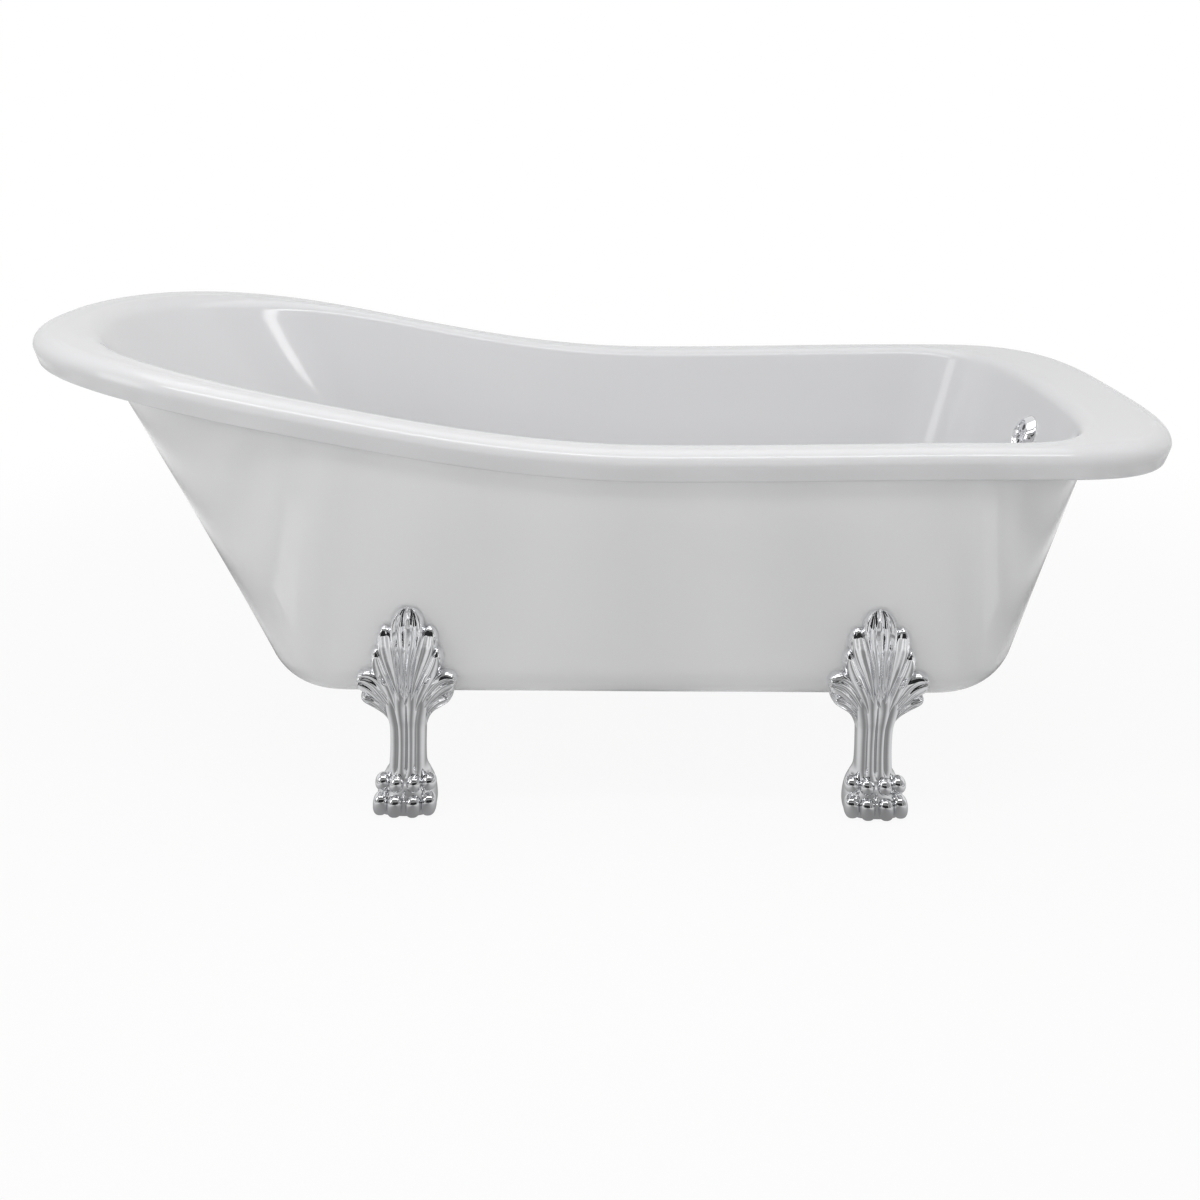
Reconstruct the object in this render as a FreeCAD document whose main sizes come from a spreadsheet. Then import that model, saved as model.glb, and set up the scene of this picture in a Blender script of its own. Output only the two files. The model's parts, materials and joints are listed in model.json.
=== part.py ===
import FreeCAD, Part
import math
import os
import Sketcher

# A single-ended slipper bath on claw feet: a rolled-rim acrylic basin, an outer skin round it,
# four cast feet with levellers, a click-clack waste and an overflow with its hose.
# Millimetres. X runs along the bath with the tap deck at +X, Z is up, and the origin is on the
# floor under the middle of the rim. The photographed side is at -Y.

os.makedirs("parts", exist_ok=True)
doc = FreeCAD.newDocument("ClawfootBath")
sheet = doc.addObject("Spreadsheet::Sheet", "Sizes")
Vector = FreeCAD.Vector

SIZES = [
    # rim seen from above: a superellipse quarter at each end and straight sides between
    ("bath_length", 1700.0),
    ("bath_width", 750.0),
    ("rim_head_run", 447.0),
    ("rim_head_power", 2.32),
    ("rim_tap_run", 250.0),
    ("rim_tap_power", 3.25),
    # height of the rim: low along the side, one cosine wave up to the slipper end
    ("rim_low_height", 613.0),
    ("slipper_rise", 123.5),
    ("slipper_wave", 1000.0),
    ("slipper_foot_x", 100.0),
    ("deck_rise", 5.0),
    ("deck_rise_run", 500.0),
    # section of the rim: downturned lip, outer roll, flat, inner roll
    ("shell_wall", 5.0),
    ("lip_depth", 44.0),
    ("lip_draft", 4.0),
    ("roll_run", 28.0),
    ("roll_drop", 22.0),
    ("inner_roll_run", 26.0),
    ("inner_roll_head_run", 54.0),
    ("inner_roll_drop", 18.0),
    # basin edge and basin floor
    ("rim_side_width", 54.0),
    ("rim_head_width", 98.0),
    ("tap_deck_width", 126.0),
    ("basin_head_run", 385.0),
    ("basin_head_power", 2.25),
    ("basin_tap_run", 170.0),
    ("basin_tap_power", 3.0),
    ("recline_run", 312.0),
    ("tap_wall_run", 88.0),
    ("side_wall_run", 71.0),
    ("floor_head_run", 230.0),
    ("floor_head_power", 2.2),
    ("floor_tap_run", 150.0),
    ("floor_tap_power", 2.8),
    ("basin_floor_height", 262.0),
    ("basin_corner_radius", 85.0),
    ("floor_fall", 0.006),
    # outer skin: where its top edge lies behind the lip, and its flat bottom
    ("skin_wall", 4.0),
    ("skin_side_inset", 11.4),
    ("skin_head_inset", 98.0),
    ("skin_tap_inset", 90.6),
    ("skin_head_run", 430.0),
    ("skin_head_power", 2.3),
    ("skin_tap_run", 258.0),
    ("skin_tap_power", 2.5),
    ("skin_top_tuck", 12.0),
    ("skin_recline_run", 241.0),
    ("skin_tap_wall_run", 89.4),
    ("skin_side_wall_run", 39.1),
    ("skin_bottom_head_run", 145.0),
    ("skin_bottom_tap_run", 163.0),
    ("skin_bottom_power", 2.5),
    ("skin_bottom_height", 206.0),
    ("skin_corner_radius", 72.0),
    ("access_radius", 65.0),
    ("bead_head_inset", 550.0),
    ("bead_tap_inset", 370.0),
    ("bead_height", 5.0),
    ("fit_gap", 0.2),
    # base board and the two bearers under the basin floor
    ("board_thickness", 18.0),
    ("board_side_inset", 75.0),
    ("board_head_inset", 141.0),
    ("board_tap_inset", 170.0),
    ("bearer_width", 60.0),
    ("bearer_length", 340.0),
    ("bearer_head_inset", 150.0),
    ("bearer_tap_inset", 140.0),
    ("bearer_screw_spread", 110.0),
    ("bearer_screw_radius", 2.5),
    ("bearer_screw_length", 38.0),
    # claw feet: where they stand, how they lean outwards, and their castings
    ("foot_head_inset", 215.0),
    ("foot_tap_inset", 221.0),
    ("foot_side_inset", 40.0),
    ("foot_lean", 35.0),
    ("foot_height", 375.0),
    ("foot_gap", 0.3),
    ("leaf_thickness", 15.0),
    ("toe_radius", 13.5),
    ("knuckle_radius", 12.0),
    ("bracket_thickness", 12.0),
    ("bracket_half_width", 42.0),
    ("bracket_reach", 96.0),
    # fixings of the feet
    ("bolt_radius", 5.0),
    ("bolt_clearance", 0.5),
    ("bolt_spread", 28.0),
    ("bolt_setback", 62.0),
    ("bolt_head_flats", 17.0),
    ("bolt_head_height", 6.4),
    ("bolt_proud", 5.0),
    ("washer_radius", 10.0),
    ("washer_thickness", 2.0),
    ("tee_barrel_radius", 6.0),
    ("tee_flange_radius", 12.0),
    ("tee_flange_thickness", 1.5),
    # levellers in the paws
    ("pad_radius", 15.0),
    ("pad_thickness", 8.0),
    ("pad_lift", 0.5),
    ("pad_recess_radius", 17.0),
    ("pad_recess_depth", 14.0),
    ("stud_radius", 5.0),
    ("stud_length", 44.0),
    ("stud_socket", 4.0),
    ("bush_radius", 8.0),
    ("bush_length", 24.0),
    ("thread_clearance", 0.05),
    # waste in the basin floor
    ("waste_inset", 106.0),
    ("seat_radius", 38.0),
    ("seat_depth", 2.0),
    ("seat_thickness", 6.0),
    ("waste_hole_radius", 22.5),
    ("gasket_thickness", 1.0),
    ("flange_radius", 35.0),
    ("flange_thickness", 4.0),
    ("flange_mouth_radius", 26.0),
    ("flange_mouth_low", 0.5),
    ("spigot_radius", 21.0),
    ("spigot_bore", 18.5),
    ("spigot_length", 30.0),
    ("spoke_width", 4.0),
    ("spoke_height", 4.0),
    ("spoke_drop", 22.0),
    ("hub_radius", 7.0),
    ("hub_bore", 4.0),
    ("body_radius", 27.0),
    ("body_flange_radius", 33.0),
    ("body_flange_thickness", 4.0),
    ("body_depth", 44.0),
    ("tail_radius", 23.9),
    ("tail_bore", 20.0),
    ("tail_length", 55.0),
    ("inlet_drop", 18.0),
    ("inlet_radius", 8.4),
    ("inlet_bore", 6.0),
    ("inlet_length", 36.0),
    # click-clack plug
    ("plug_radius", 31.0),
    ("plug_thickness", 3.0),
    ("plug_crown", 3.5),
    ("plug_seal_radius", 22.0),
    ("plug_seal_bore", 17.0),
    ("plug_seal_thickness", 1.9),
    ("plug_gap", 0.4),
    ("stem_radius", 3.0),
    ("stem_length", 42.0),
    ("cartridge_radius", 6.5),
    ("cartridge_length", 22.0),
    ("spring_wire", 0.6),
    ("spring_radius", 4.9),
    ("spring_turns", 6.0),
    # overflow in the tap-end wall
    ("overflow_height", 535.0),
    ("overflow_hole_radius", 26.0),
    ("overflow_ease", 0.1),
    ("rosette_radius", 35.0),
    ("rosette_front_radius", 29.0),
    ("rosette_depth", 13.0),
    ("rosette_wall", 2.0),
    ("rosette_dish", 6.0),
    ("rosette_web", 2.5),
    ("rosette_slot_radius", 5.2),
    ("rosette_slot_pitch", 17.0),
    ("rosette_slots", 6.0),
    ("knob_radius", 7.5),
    ("knob_proud", 8.0),
    ("overflow_gasket_radius", 31.0),
    ("overflow_gasket_thickness", 1.5),
    ("elbow_radius", 25.5),
    ("elbow_chamber_radius", 20.5),
    ("elbow_flange_radius", 31.0),
    ("elbow_flange_thickness", 3.0),
    ("elbow_depth", 22.0),
    ("elbow_wall", 2.5),
    ("elbow_boss_radius", 6.0),
    ("outlet_setback", 14.5),
    ("outlet_length", 28.0),
    ("screw_radius", 3.0),
    # overflow hose and its nuts
    ("hose_radius", 11.0),
    ("hose_bore", 8.5),
    ("hose_bend", 42.0),
    ("nut_radius", 14.0),
    ("nut_length", 16.0),
    ("nut_flute_radius", 1.8),
    ("nut_flutes", 12.0),
    ("hose_top_gap", 11.5),
    ("hose_start", 8.0),
]

for row, (alias, value) in enumerate(SIZES, start=1):
    cell = "B%d" % row
    sheet.set(cell, str(value))
    sheet.setAlias(cell, alias)
doc.recompute()


def size(alias):
    """Read one driving dimension from the sheet."""
    return float(getattr(sheet, alias))


# ---------------------------------------------------------------------------
# Outlines and walls shared by the basin, the skin and the feet
# ---------------------------------------------------------------------------

HEAD_STEPS = 14
SIDE_STEPS = 12
TAP_STEPS = 11
CORNER_STEPS = 5
HALF_COUNT = HEAD_STEPS + SIDE_STEPS + TAP_STEPS


def plan_point(plan, index, inset=0.0):
    """One point of a closed plan outline, counted from the slipper pole along the -Y side.

    Each end is a quarter of a superellipse mirrored in the X axis, and straight sides join them.
    """
    left, right, half, head_run, head_power, tap_run, tap_power = plan
    left, right, half = left + inset, right - inset, half - inset
    head_run, tap_run = head_run - inset, tap_run - inset
    step = min(index, 2 * HALF_COUNT - index)
    if step < HEAD_STEPS:
        turn = 0.5 * math.pi * step / HEAD_STEPS
        x = left + head_run * (1.0 - math.cos(turn) ** (2.0 / head_power))
        y = half * math.sin(turn) ** (2.0 / head_power)
    elif step < HEAD_STEPS + SIDE_STEPS:
        start, stop = left + head_run, right - tap_run
        x = start + (stop - start) * (step - HEAD_STEPS) / SIDE_STEPS
        y = half
    else:
        turn = 0.5 * math.pi * (HALF_COUNT - step) / TAP_STEPS
        x = right - tap_run + tap_run * max(math.cos(turn), 0.0) ** (2.0 / tap_power)
        y = half * math.sin(turn) ** (2.0 / tap_power)
    return Vector(x, y if index > HALF_COUNT else -y, 0)


def ring(plan, height, inset=0.0):
    """All points of an outline, each at the height that a function gives for its x."""
    points = [plan_point(plan, index, inset) for index in range(2 * HALF_COUNT)]
    return [Vector(point.x, point.y, height(point.x)) for point in points]


def crest(x):
    """Height of the top of the rim at a given place along the bath."""
    foot = size("slipper_foot_x")
    if x < foot:
        turn = math.pi * (foot - x) / size("slipper_wave")
        return size("rim_low_height") + size("slipper_rise") * (1.0 - math.cos(turn)) / 2.0
    turn = math.pi * min((x - foot) / size("deck_rise_run"), 1.0)
    return size("rim_low_height") + size("deck_rise") * (1.0 - math.cos(turn)) / 2.0


def below_crest(drop):
    """Height function that follows the wave of the rim at a given drop."""
    return lambda x: crest(x) - drop


def wall_rings(top_plan, top_height, foot_plan, foot_height, radius, offset, tilt=None):
    """Rings of a sloping wall with a rounded foot, from its top edge down to the flat floor.

    Each column runs straight from the top outline to the foot outline and is rounded where it
    meets the floor. The offset moves the face outwards about the same centres, and the tilt, a
    function of x and of the height fraction, slopes the floor.
    """
    columns = []
    for index in range(2 * HALF_COUNT):
        high, low = plan_point(top_plan, index), plan_point(foot_plan, index)
        rise = top_height(high.x) - foot_height
        out = plan_point(foot_plan, index, -1.0) - low
        slope = math.atan2((high - low).dot(out) / out.Length, rise)
        tangent = radius / math.tan((0.5 * math.pi + slope) / 2.0)
        edge = plan_point(top_plan, index, -offset * math.cos(slope))
        edge.z = top_height(high.x) - offset * math.sin(slope)
        column = [edge]
        for step in range(CORNER_STEPS + 1):
            turn = slope + (0.5 * math.pi - slope) * step / CORNER_STEPS
            reach = radius + offset
            point = plan_point(foot_plan, index, tangent - reach * math.cos(turn))
            point.z = foot_height + radius - reach * math.sin(turn)
            column.append(point)
        if tilt:
            for point in column:
                point.z += tilt(point.x, (point.z - foot_height) / rise)
        columns.append(column)
    return [list(level) for level in zip(*columns)]


def closed_wire(points):
    """A smooth closed curve through the points of one ring."""
    curve = Part.BSplineCurve()
    curve.interpolate(Points=points, PeriodicFlag=True)
    return Part.Wire([curve.toShape()])


def skin_over(rings):
    """One closed solid through a sequence of rings, flat at its first and last ring."""
    solid = Part.makeLoft([closed_wire(ring) for ring in rings], True, True)
    if solid.Volume < 0:
        solid.reverse()
    return solid


def add_feature(label, shape):
    """A sub-part whose form neither a body nor a primitive gives."""
    feature = doc.addObject("Part::Feature", label)
    feature.Shape = shape
    feature.Placement = FreeCAD.Placement()
    feature.Label = label
    return feature


half_length = size("bath_length") / 2.0
half_width = size("bath_width") / 2.0

RIM = (
    -half_length,
    half_length,
    half_width,
    size("rim_head_run"),
    size("rim_head_power"),
    size("rim_tap_run"),
    size("rim_tap_power"),
)
BASIN_EDGE = (
    -half_length + size("rim_head_width"),
    half_length - size("tap_deck_width"),
    half_width - size("rim_side_width"),
    size("basin_head_run"),
    size("basin_head_power"),
    size("basin_tap_run"),
    size("basin_tap_power"),
)
DECK_EDGE = (
    BASIN_EDGE[0] - size("inner_roll_head_run"),
    BASIN_EDGE[1] + size("inner_roll_run"),
    BASIN_EDGE[2] + size("inner_roll_run"),
    size("basin_head_run") + size("inner_roll_run"),
    size("basin_head_power"),
    size("basin_tap_run") + size("inner_roll_run"),
    size("basin_tap_power"),
)
BASIN_FLOOR = (
    BASIN_EDGE[0] + size("recline_run"),
    BASIN_EDGE[1] - size("tap_wall_run"),
    BASIN_EDGE[2] - size("side_wall_run"),
    size("floor_head_run"),
    size("floor_head_power"),
    size("floor_tap_run"),
    size("floor_tap_power"),
)
SKIN_TOP = (
    -half_length + size("skin_head_inset"),
    half_length - size("skin_tap_inset"),
    half_width - size("skin_side_inset"),
    size("skin_head_run"),
    size("skin_head_power"),
    size("skin_tap_run"),
    size("skin_tap_power"),
)
SKIN_BOTTOM = (
    SKIN_TOP[0] + size("skin_recline_run"),
    SKIN_TOP[1] - size("skin_tap_wall_run"),
    SKIN_TOP[2] - size("skin_side_wall_run"),
    size("skin_bottom_head_run"),
    size("skin_bottom_power"),
    size("skin_bottom_tap_run"),
    size("skin_bottom_power"),
)


# ---------------------------------------------------------------------------
# Basin with its rolled rim, one moulding
# ---------------------------------------------------------------------------

ROLL_STEPS = 4


def floor_tilt(x, fraction):
    """Extra height that makes the basin floor fall towards the waste."""
    run = BASIN_FLOOR[1] - size("waste_inset") - x
    return size("floor_fall") * run * (1.0 - min(max(fraction, 0.0), 1.0))


def basin_face(offset):
    """Rings of one face of the moulding, from the lip's lower edge to the basin floor."""
    lip_low, lip_high = below_crest(size("lip_depth")), below_crest(size("roll_drop"))
    rings = [ring(RIM, lip_low, size("lip_draft") + offset), ring(RIM, lip_high, offset)]
    for step in range(1, ROLL_STEPS + 1):
        turn = 0.5 * math.pi * step / ROLL_STEPS
        inset = size("roll_run") - (size("roll_run") - offset) * math.cos(turn)
        drop = size("roll_drop") - (size("roll_drop") - offset) * math.sin(turn)
        rings.append(ring(RIM, below_crest(drop), inset))
    deck = ring(DECK_EDGE, below_crest(offset))
    rings.append(deck)
    wall = wall_rings(
        BASIN_EDGE,
        below_crest(size("inner_roll_drop")),
        BASIN_FLOOR,
        size("basin_floor_height"),
        size("basin_corner_radius"),
        offset,
        floor_tilt,
    )
    for step in range(1, ROLL_STEPS):
        share = step / ROLL_STEPS
        rolled = []
        for outer, inner, lower in zip(deck, wall[0], wall[1]):
            line = inner - lower
            knee = inner + line * ((outer.z - inner.z) / line.z)
            rolled.append(
                outer * (1.0 - share) ** 2 + knee * (2.0 * share * (1.0 - share)) + inner * share**2
            )
        rings.append(rolled)
    return rings + wall


def upright(radius, bottom, top, x=0.0, y=0.0):
    """A plain upright cylinder used as a cutter or a boss."""
    return Part.makeCylinder(radius, top - bottom, Vector(x, y, bottom))


waste_x = BASIN_FLOOR[1] - size("waste_inset")
floor_height = size("basin_floor_height")
seat_top = floor_height - size("seat_depth")
seat_bottom = seat_top - size("seat_thickness")
under_floor = floor_height - size("shell_wall")

tap_slope = math.atan2(
    BASIN_EDGE[1] - BASIN_FLOOR[1],
    crest(BASIN_EDGE[1]) - size("inner_roll_drop") - floor_height,
)
overflow_rise = size("overflow_height") - floor_height
overflow_point = Vector(
    BASIN_FLOOR[1] + overflow_rise * math.tan(tap_slope), 0, size("overflow_height")
)
inward = Vector(-math.cos(tap_slope), 0, math.sin(tap_slope))
overflow_turn = FreeCAD.Rotation(Vector(0, 0, 1), inward)

basin_rings = list(reversed(basin_face(0.0))) + basin_face(size("shell_wall"))
basin = skin_over(basin_rings)
boss = upright(size("seat_radius"), seat_bottom, floor_height, waste_x)
recess = upright(size("seat_radius"), seat_top, floor_height + 10.0, waste_x)
drain = upright(size("waste_hole_radius"), seat_bottom - 10.0, floor_height, waste_x)
port = Part.makeCylinder(
    size("overflow_hole_radius"), 40.0, overflow_point - inward * 20.0, inward
)
basin = basin.fuse(boss).cut(recess).cut(drain).cut(port)
bath_shell = add_feature("bath_shell", basin)


# ---------------------------------------------------------------------------
# Outer skin round the basin, with a flat bottom and an opening under the waste
# ---------------------------------------------------------------------------

skin_low = size("skin_bottom_height")
skin_floor_top = skin_low + size("skin_wall")


def skin_face(offset):
    """Rings of a face at a given distance outside the skin, from its top edge to its bottom."""
    return wall_rings(
        SKIN_TOP,
        below_crest(size("roll_drop") + size("skin_top_tuck")),
        SKIN_BOTTOM,
        size("skin_bottom_height"),
        size("skin_corner_radius"),
        offset,
    )


def level_cut(rings, height):
    """The ring where the straight part of a wall crosses a level plane."""
    return [
        low + (high - low) * ((height - low.z) / (high.z - low.z))
        for high, low in zip(rings[0], rings[1])
    ]


def foot_x(end):
    """Place of a foot's shaft along the bath."""
    if end == "head":
        return SKIN_BOTTOM[0] + size("foot_head_inset")
    return SKIN_BOTTOM[1] - size("foot_tap_inset")


def lean_at(end, height):
    """Sideways shift of a foot at a height: its top leans towards the middle of the bath."""
    side = 1.0 if end == "head" else -1.0
    return side * size("foot_lean") * height / size("foot_height")


foot_y = SKIN_BOTTOM[2] - size("foot_side_inset")
bolt_y = foot_y - size("bolt_setback")
BOLT_PLACES = [
    (foot_x(end) + lean_at(end, skin_low) + sign * size("bolt_spread"), side * bolt_y)
    for end in ("head", "tap")
    for side in (-1.0, 1.0)
    for sign in (-1.0, 1.0)
]
FOOT_PLACES = [(end, side) for end in ("head", "tap") for side in ("near", "far")]
SIDE_SIGN = {"near": -1.0, "far": 1.0}

skin = skin_over(list(reversed(skin_face(0.0))) + skin_face(-size("skin_wall")))
skin = skin.cut(upright(size("access_radius"), skin_low - 5.0, skin_floor_top + 5.0, waste_x))
bolt_hole = size("bolt_radius") + size("bolt_clearance")
for x, y in BOLT_PLACES:
    skin = skin.cut(upright(bolt_hole, skin_low - 5.0, skin_floor_top + 5.0, x, y))
outer_skin = add_feature("outer_skin", skin)

# Sealant bead between the back of the lip and the skin, along both straight sides
BEAD_STEPS = 12
bead_inner = half_width - size("skin_side_inset") + size("fit_gap")
bead_outer = half_width - size("lip_draft") - size("shell_wall") - size("fit_gap")
bead_low = size("lip_depth")
bead_head = -half_length + size("bead_head_inset")
bead_tap = half_length - size("bead_tap_inset")
strips = []
for side in (-1.0, 1.0):
    stations = []
    for step in range(BEAD_STEPS + 1):
        share = step / BEAD_STEPS
        x = bead_head + (bead_tap - bead_head) * share
        base = crest(x) - bead_low
        corners = [
            Vector(x, side * bead_inner, base),
            Vector(x, side * bead_outer, base),
            Vector(x, side * bead_outer, base + size("bead_height")),
            Vector(x, side * bead_inner, base + size("bead_height")),
        ]
        stations.append(Part.makePolygon(corners + corners[:1]))
    strip = Part.makeLoft(stations, True, True)
    if strip.Volume < 0:
        strip.reverse()
    strips.append(strip)
seam_bead = add_feature("seam_bead", Part.makeCompound(strips))

# ---------------------------------------------------------------------------
# Claw feet: cast leaf, shaft and paw in one, on a bracket under the skin
# ---------------------------------------------------------------------------

# height, outward centre, half width and half depth of the shaft's sections
SHAFT = [
    (0.0, -6.0, 44.0, 40.0),
    (14.0, -6.0, 48.0, 42.0),
    (34.0, -6.0, 47.0, 41.0),
    (52.0, -7.0, 42.0, 37.0),
    (66.0, -6.0, 35.0, 31.0),
    (78.0, -4.0, 31.5, 27.0),
    (100.0, -1.0, 31.0, 26.0),
    (130.0, 3.0, 31.0, 26.0),
    (160.0, 9.0, 34.0, 28.0),
    (190.0, 18.0, 40.0, 31.0),
    (215.0, 24.0, 44.0, 32.0),
    (240.0, 30.0, 45.0, 28.0),
    (262.0, 36.0, 40.0, 20.0),
]
# each lobe of the leaf's edge as an arc through three points: half width, unstretched depth below the top
LEAF_LOBES = [
    ((46.0, 179.0), (70.0, 167.0), (66.0, 149.0)),
    ((66.0, 149.0), (75.0, 125.0), (57.0, 109.0)),
    ((57.0, 109.0), (57.5, 85.0), (44.0, 63.0)),
    ((44.0, 63.0), (45.5, 45.0), (27.0, 29.0)),
    ((27.0, 29.0), (22.0, 9.0), (0.0, 0.0)),
]
# front of the leaf in side view: outward reach, unstretched depth below the top
LEAF_FRONT = [
    (52.0, 189.0),
    (64.0, 175.0),
    (71.0, 157.0),
    (75.0, 123.0),
    (76.0, 107.0),
    (74.0, 63.0),
    (70.0, -1.0),
]
# depth of the skin's bottom in the two lists above
LEAF_SPAN = 169.0
SECTION_STEPS = 32
SECTION_POWER = 2.6


def section(centre_x, centre_y, half_x, half_y, height):
    """A level superellipse ring."""
    points = []
    for step in range(SECTION_STEPS):
        turn = 2.0 * math.pi * step / SECTION_STEPS
        cosine, sine = math.cos(turn), math.sin(turn)
        x = math.copysign(abs(cosine) ** (2.0 / SECTION_POWER), cosine) * half_x
        y = math.copysign(abs(sine) ** (2.0 / SECTION_POWER), sine) * half_y
        points.append(Vector(centre_x + x, centre_y + y, height))
    return points


def leaf_height(depth):
    """Height of a point of the leaf: above the skin's bottom the leaf stretches with the foot."""
    rise = LEAF_SPAN - depth
    stretch = (size("foot_height") - skin_low) / LEAF_SPAN if rise > 0.0 else 1.0
    return skin_low + rise * stretch


def near_foot(end):
    """One casting on the photographed side, cut to the skin with its clearance."""
    x0, y0 = foot_x(end), -foot_y

    def spot(across, out, height):
        return Vector(x0 + lean_at(end, height) + across, y0 - out, height)

    core = []
    for height, out, half_x, half_y in SHAFT:
        centre = spot(0.0, out, height)
        core.append(section(centre.x, centre.y, half_x, half_y, height))
    solid = skin_over(core)
    for across in (-1.5, -0.5, 0.5, 1.5):
        toe = spot(across * 22.0, 21.0, size("toe_radius"))
        knuckle = spot(across * 20.0, 21.0, 39.0)
        solid = solid.fuse(Part.makeSphere(size("toe_radius"), toe))
        solid = solid.fuse(Part.makeSphere(size("knuckle_radius"), knuckle))

    edges = []
    for side in (1.0, -1.0):
        for lobe in LEAF_LOBES:
            points = [spot(side * across, 0.0, leaf_height(depth)) for across, depth in lobe]
            edges.append(Part.Arc(*points).toShape())
    base_across, base_depth = LEAF_LOBES[0][0]
    base = [spot(side * base_across, 0.0, leaf_height(base_depth)) for side in (1, -1)]
    edges.append(Part.makeLine(*base))
    front = Part.Face(Part.Wire(Part.sortEdges(edges)[0]))
    front = front.extrude(Vector(0, -120.0, 0))
    reach = [Vector(x0 - 150.0, y0 - out, leaf_height(depth)) for out, depth in LEAF_FRONT]
    back = [
        point + Vector(0, size("leaf_thickness") * (2.5 if point.z > skin_low + 80.0 else 1.0), 0)
        for point in reversed(reach)
    ]
    outer = Part.BSplineCurve()
    outer.interpolate(reach)
    sides = [outer.toShape(), Part.makePolygon([reach[-1]] + back + [reach[0]])]
    slab = Part.Face(Part.Wire(Part.Wire(sides).Edges)).extrude(Vector(300.0, 0, 0))
    leaf = front.common(slab)

    shift = lean_at(end, skin_low)
    half = size("bracket_half_width")
    under = skin_low - size("bracket_thickness")
    plate = Part.makeBox(
        2.0 * half,
        size("bracket_reach") + 20.0,
        size("bracket_thickness"),
        Vector(x0 + shift - half, y0 - 20.0, under),
    )
    web_side = Vector(x0 + shift - 6.0, 0, 0)
    web = [(y0 + 80.0, under), (y0 - 20.0, under), (y0 - 20.0, 110.0), (y0 + 8.0, 110.0)]
    web_points = [web_side + Vector(0, y, z) for y, z in web]
    rib = Part.Face(Part.makePolygon(web_points + web_points[:1])).extrude(Vector(12.0, 0, 0))

    solid = solid.fuse(leaf).fuse(plate).fuse(rib).cut(skin_envelope)
    for x, y in BOLT_PLACES:
        if y < 0 and abs(x - x0) < 2.0 * half:
            solid = solid.cut(upright(bolt_hole, under - 5.0, skin_low, x, y))
    solid = solid.cut(upright(size("pad_recess_radius"), -1.0, size("pad_recess_depth"), x0, y0))
    bush_top = size("pad_recess_depth") + size("bush_length")
    bush_hole = size("bush_radius") + size("thread_clearance")
    solid = solid.cut(upright(bush_hole, 0.0, bush_top, x0, y0))
    shank = size("stud_radius") + size("bolt_clearance")
    stud_top = size("pad_lift") + size("pad_thickness") + size("stud_length")
    solid = solid.cut(upright(shank, 0.0, stud_top + 3.0, x0, y0))
    return solid


envelope_rings = skin_face(size("foot_gap"))
envelope_rings[0] = level_cut(envelope_rings, size("foot_height") + 60.0)
skin_envelope = skin_over(envelope_rings)

FEET = {}
for end in ("head", "tap"):
    name = "foot_near_" + end
    FEET[name] = add_feature(name, near_foot(end))
    mirrored = doc.addObject("Part::Mirroring", "foot_far_" + end)
    mirrored.Source = FEET[name]
    mirrored.Normal = Vector(0, 1, 0)
    mirrored.Label = "foot_far_" + end
    FEET[mirrored.Label] = mirrored


# ---------------------------------------------------------------------------
# Helpers for pieces whose sizes are bound to the sheet
# ---------------------------------------------------------------------------

# lengths used by several pieces, as expressions on the sheet
SKIN_HALF = "(Sizes.bath_width / 2 - Sizes.skin_side_inset - Sizes.skin_side_wall_run)"
SKIN_HEAD = "(-Sizes.bath_length / 2 + Sizes.skin_head_inset + Sizes.skin_recline_run)"
SKIN_TAP = "(Sizes.bath_length / 2 - Sizes.skin_tap_inset - Sizes.skin_tap_wall_run)"
BASIN_TAP = "(Sizes.bath_length / 2 - Sizes.tap_deck_width - Sizes.tap_wall_run)"
WASTE_X = "(%s - Sizes.waste_inset)" % BASIN_TAP
BOARD_LOW = "(Sizes.skin_bottom_height + Sizes.skin_wall)"
BOARD_TOP = "(%s + Sizes.board_thickness)" % BOARD_LOW
SEAT_TOP = "(Sizes.basin_floor_height - Sizes.seat_depth)"
SEAT_LOW = "(%s - Sizes.seat_thickness)" % SEAT_TOP
FLANGE_LOW = "(%s + Sizes.gasket_thickness)" % SEAT_TOP
BODY_TOP = "(%s - Sizes.gasket_thickness)" % SEAT_LOW
BUSH_LOW = "Sizes.pad_recess_depth"
TEE_BORE = "(Sizes.bolt_radius + Sizes.thread_clearance)"


def value(expression):
    """Work out an expression on the sheet."""
    return float(sheet.evalExpression(expression))


def bind(target, **expressions):
    """Tie properties of an object to expressions on the sheet."""
    for name, expression in expressions.items():
        target.setExpression(name, expression)


def place(target, x="0", y="0", z="0"):
    """Tie an object's position to expressions on the sheet."""
    for axis, expression in zip("xyz", (x, y, z)):
        target.setExpression("Placement.Base." + axis, expression)


def new_body(label):
    """An empty body that becomes one sub-part."""
    body = doc.addObject("PartDesign::Body", label)
    body.Label = label
    return body


def sketch_on(body, role):
    """A sketch on one of the body's own origin planes."""
    sketch = body.newObject("Sketcher::SketchObject", "Sketch")
    plane = next(item for item in body.Origin.OriginFeatures if item.Role == role)
    sketch.AttachmentSupport = (plane, [""])
    sketch.MapMode = "FlatFace"
    return sketch


def pin_point(sketch, edge, end, x, y):
    """Hold one point of a sketch at expressions for its two coordinates."""
    for kind, axis, expression in (("DistanceX", -2, x), ("DistanceY", -1, y)):
        amount = value(expression)
        if abs(amount) < 1e-9:
            sketch.addConstraint(Sketcher.Constraint("PointOnObject", edge, end, axis))
        else:
            held = sketch.addConstraint(Sketcher.Constraint(kind, -1, 1, edge, end, amount))
            sketch.setExpression("Constraints[%d]" % held, expression)


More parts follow.
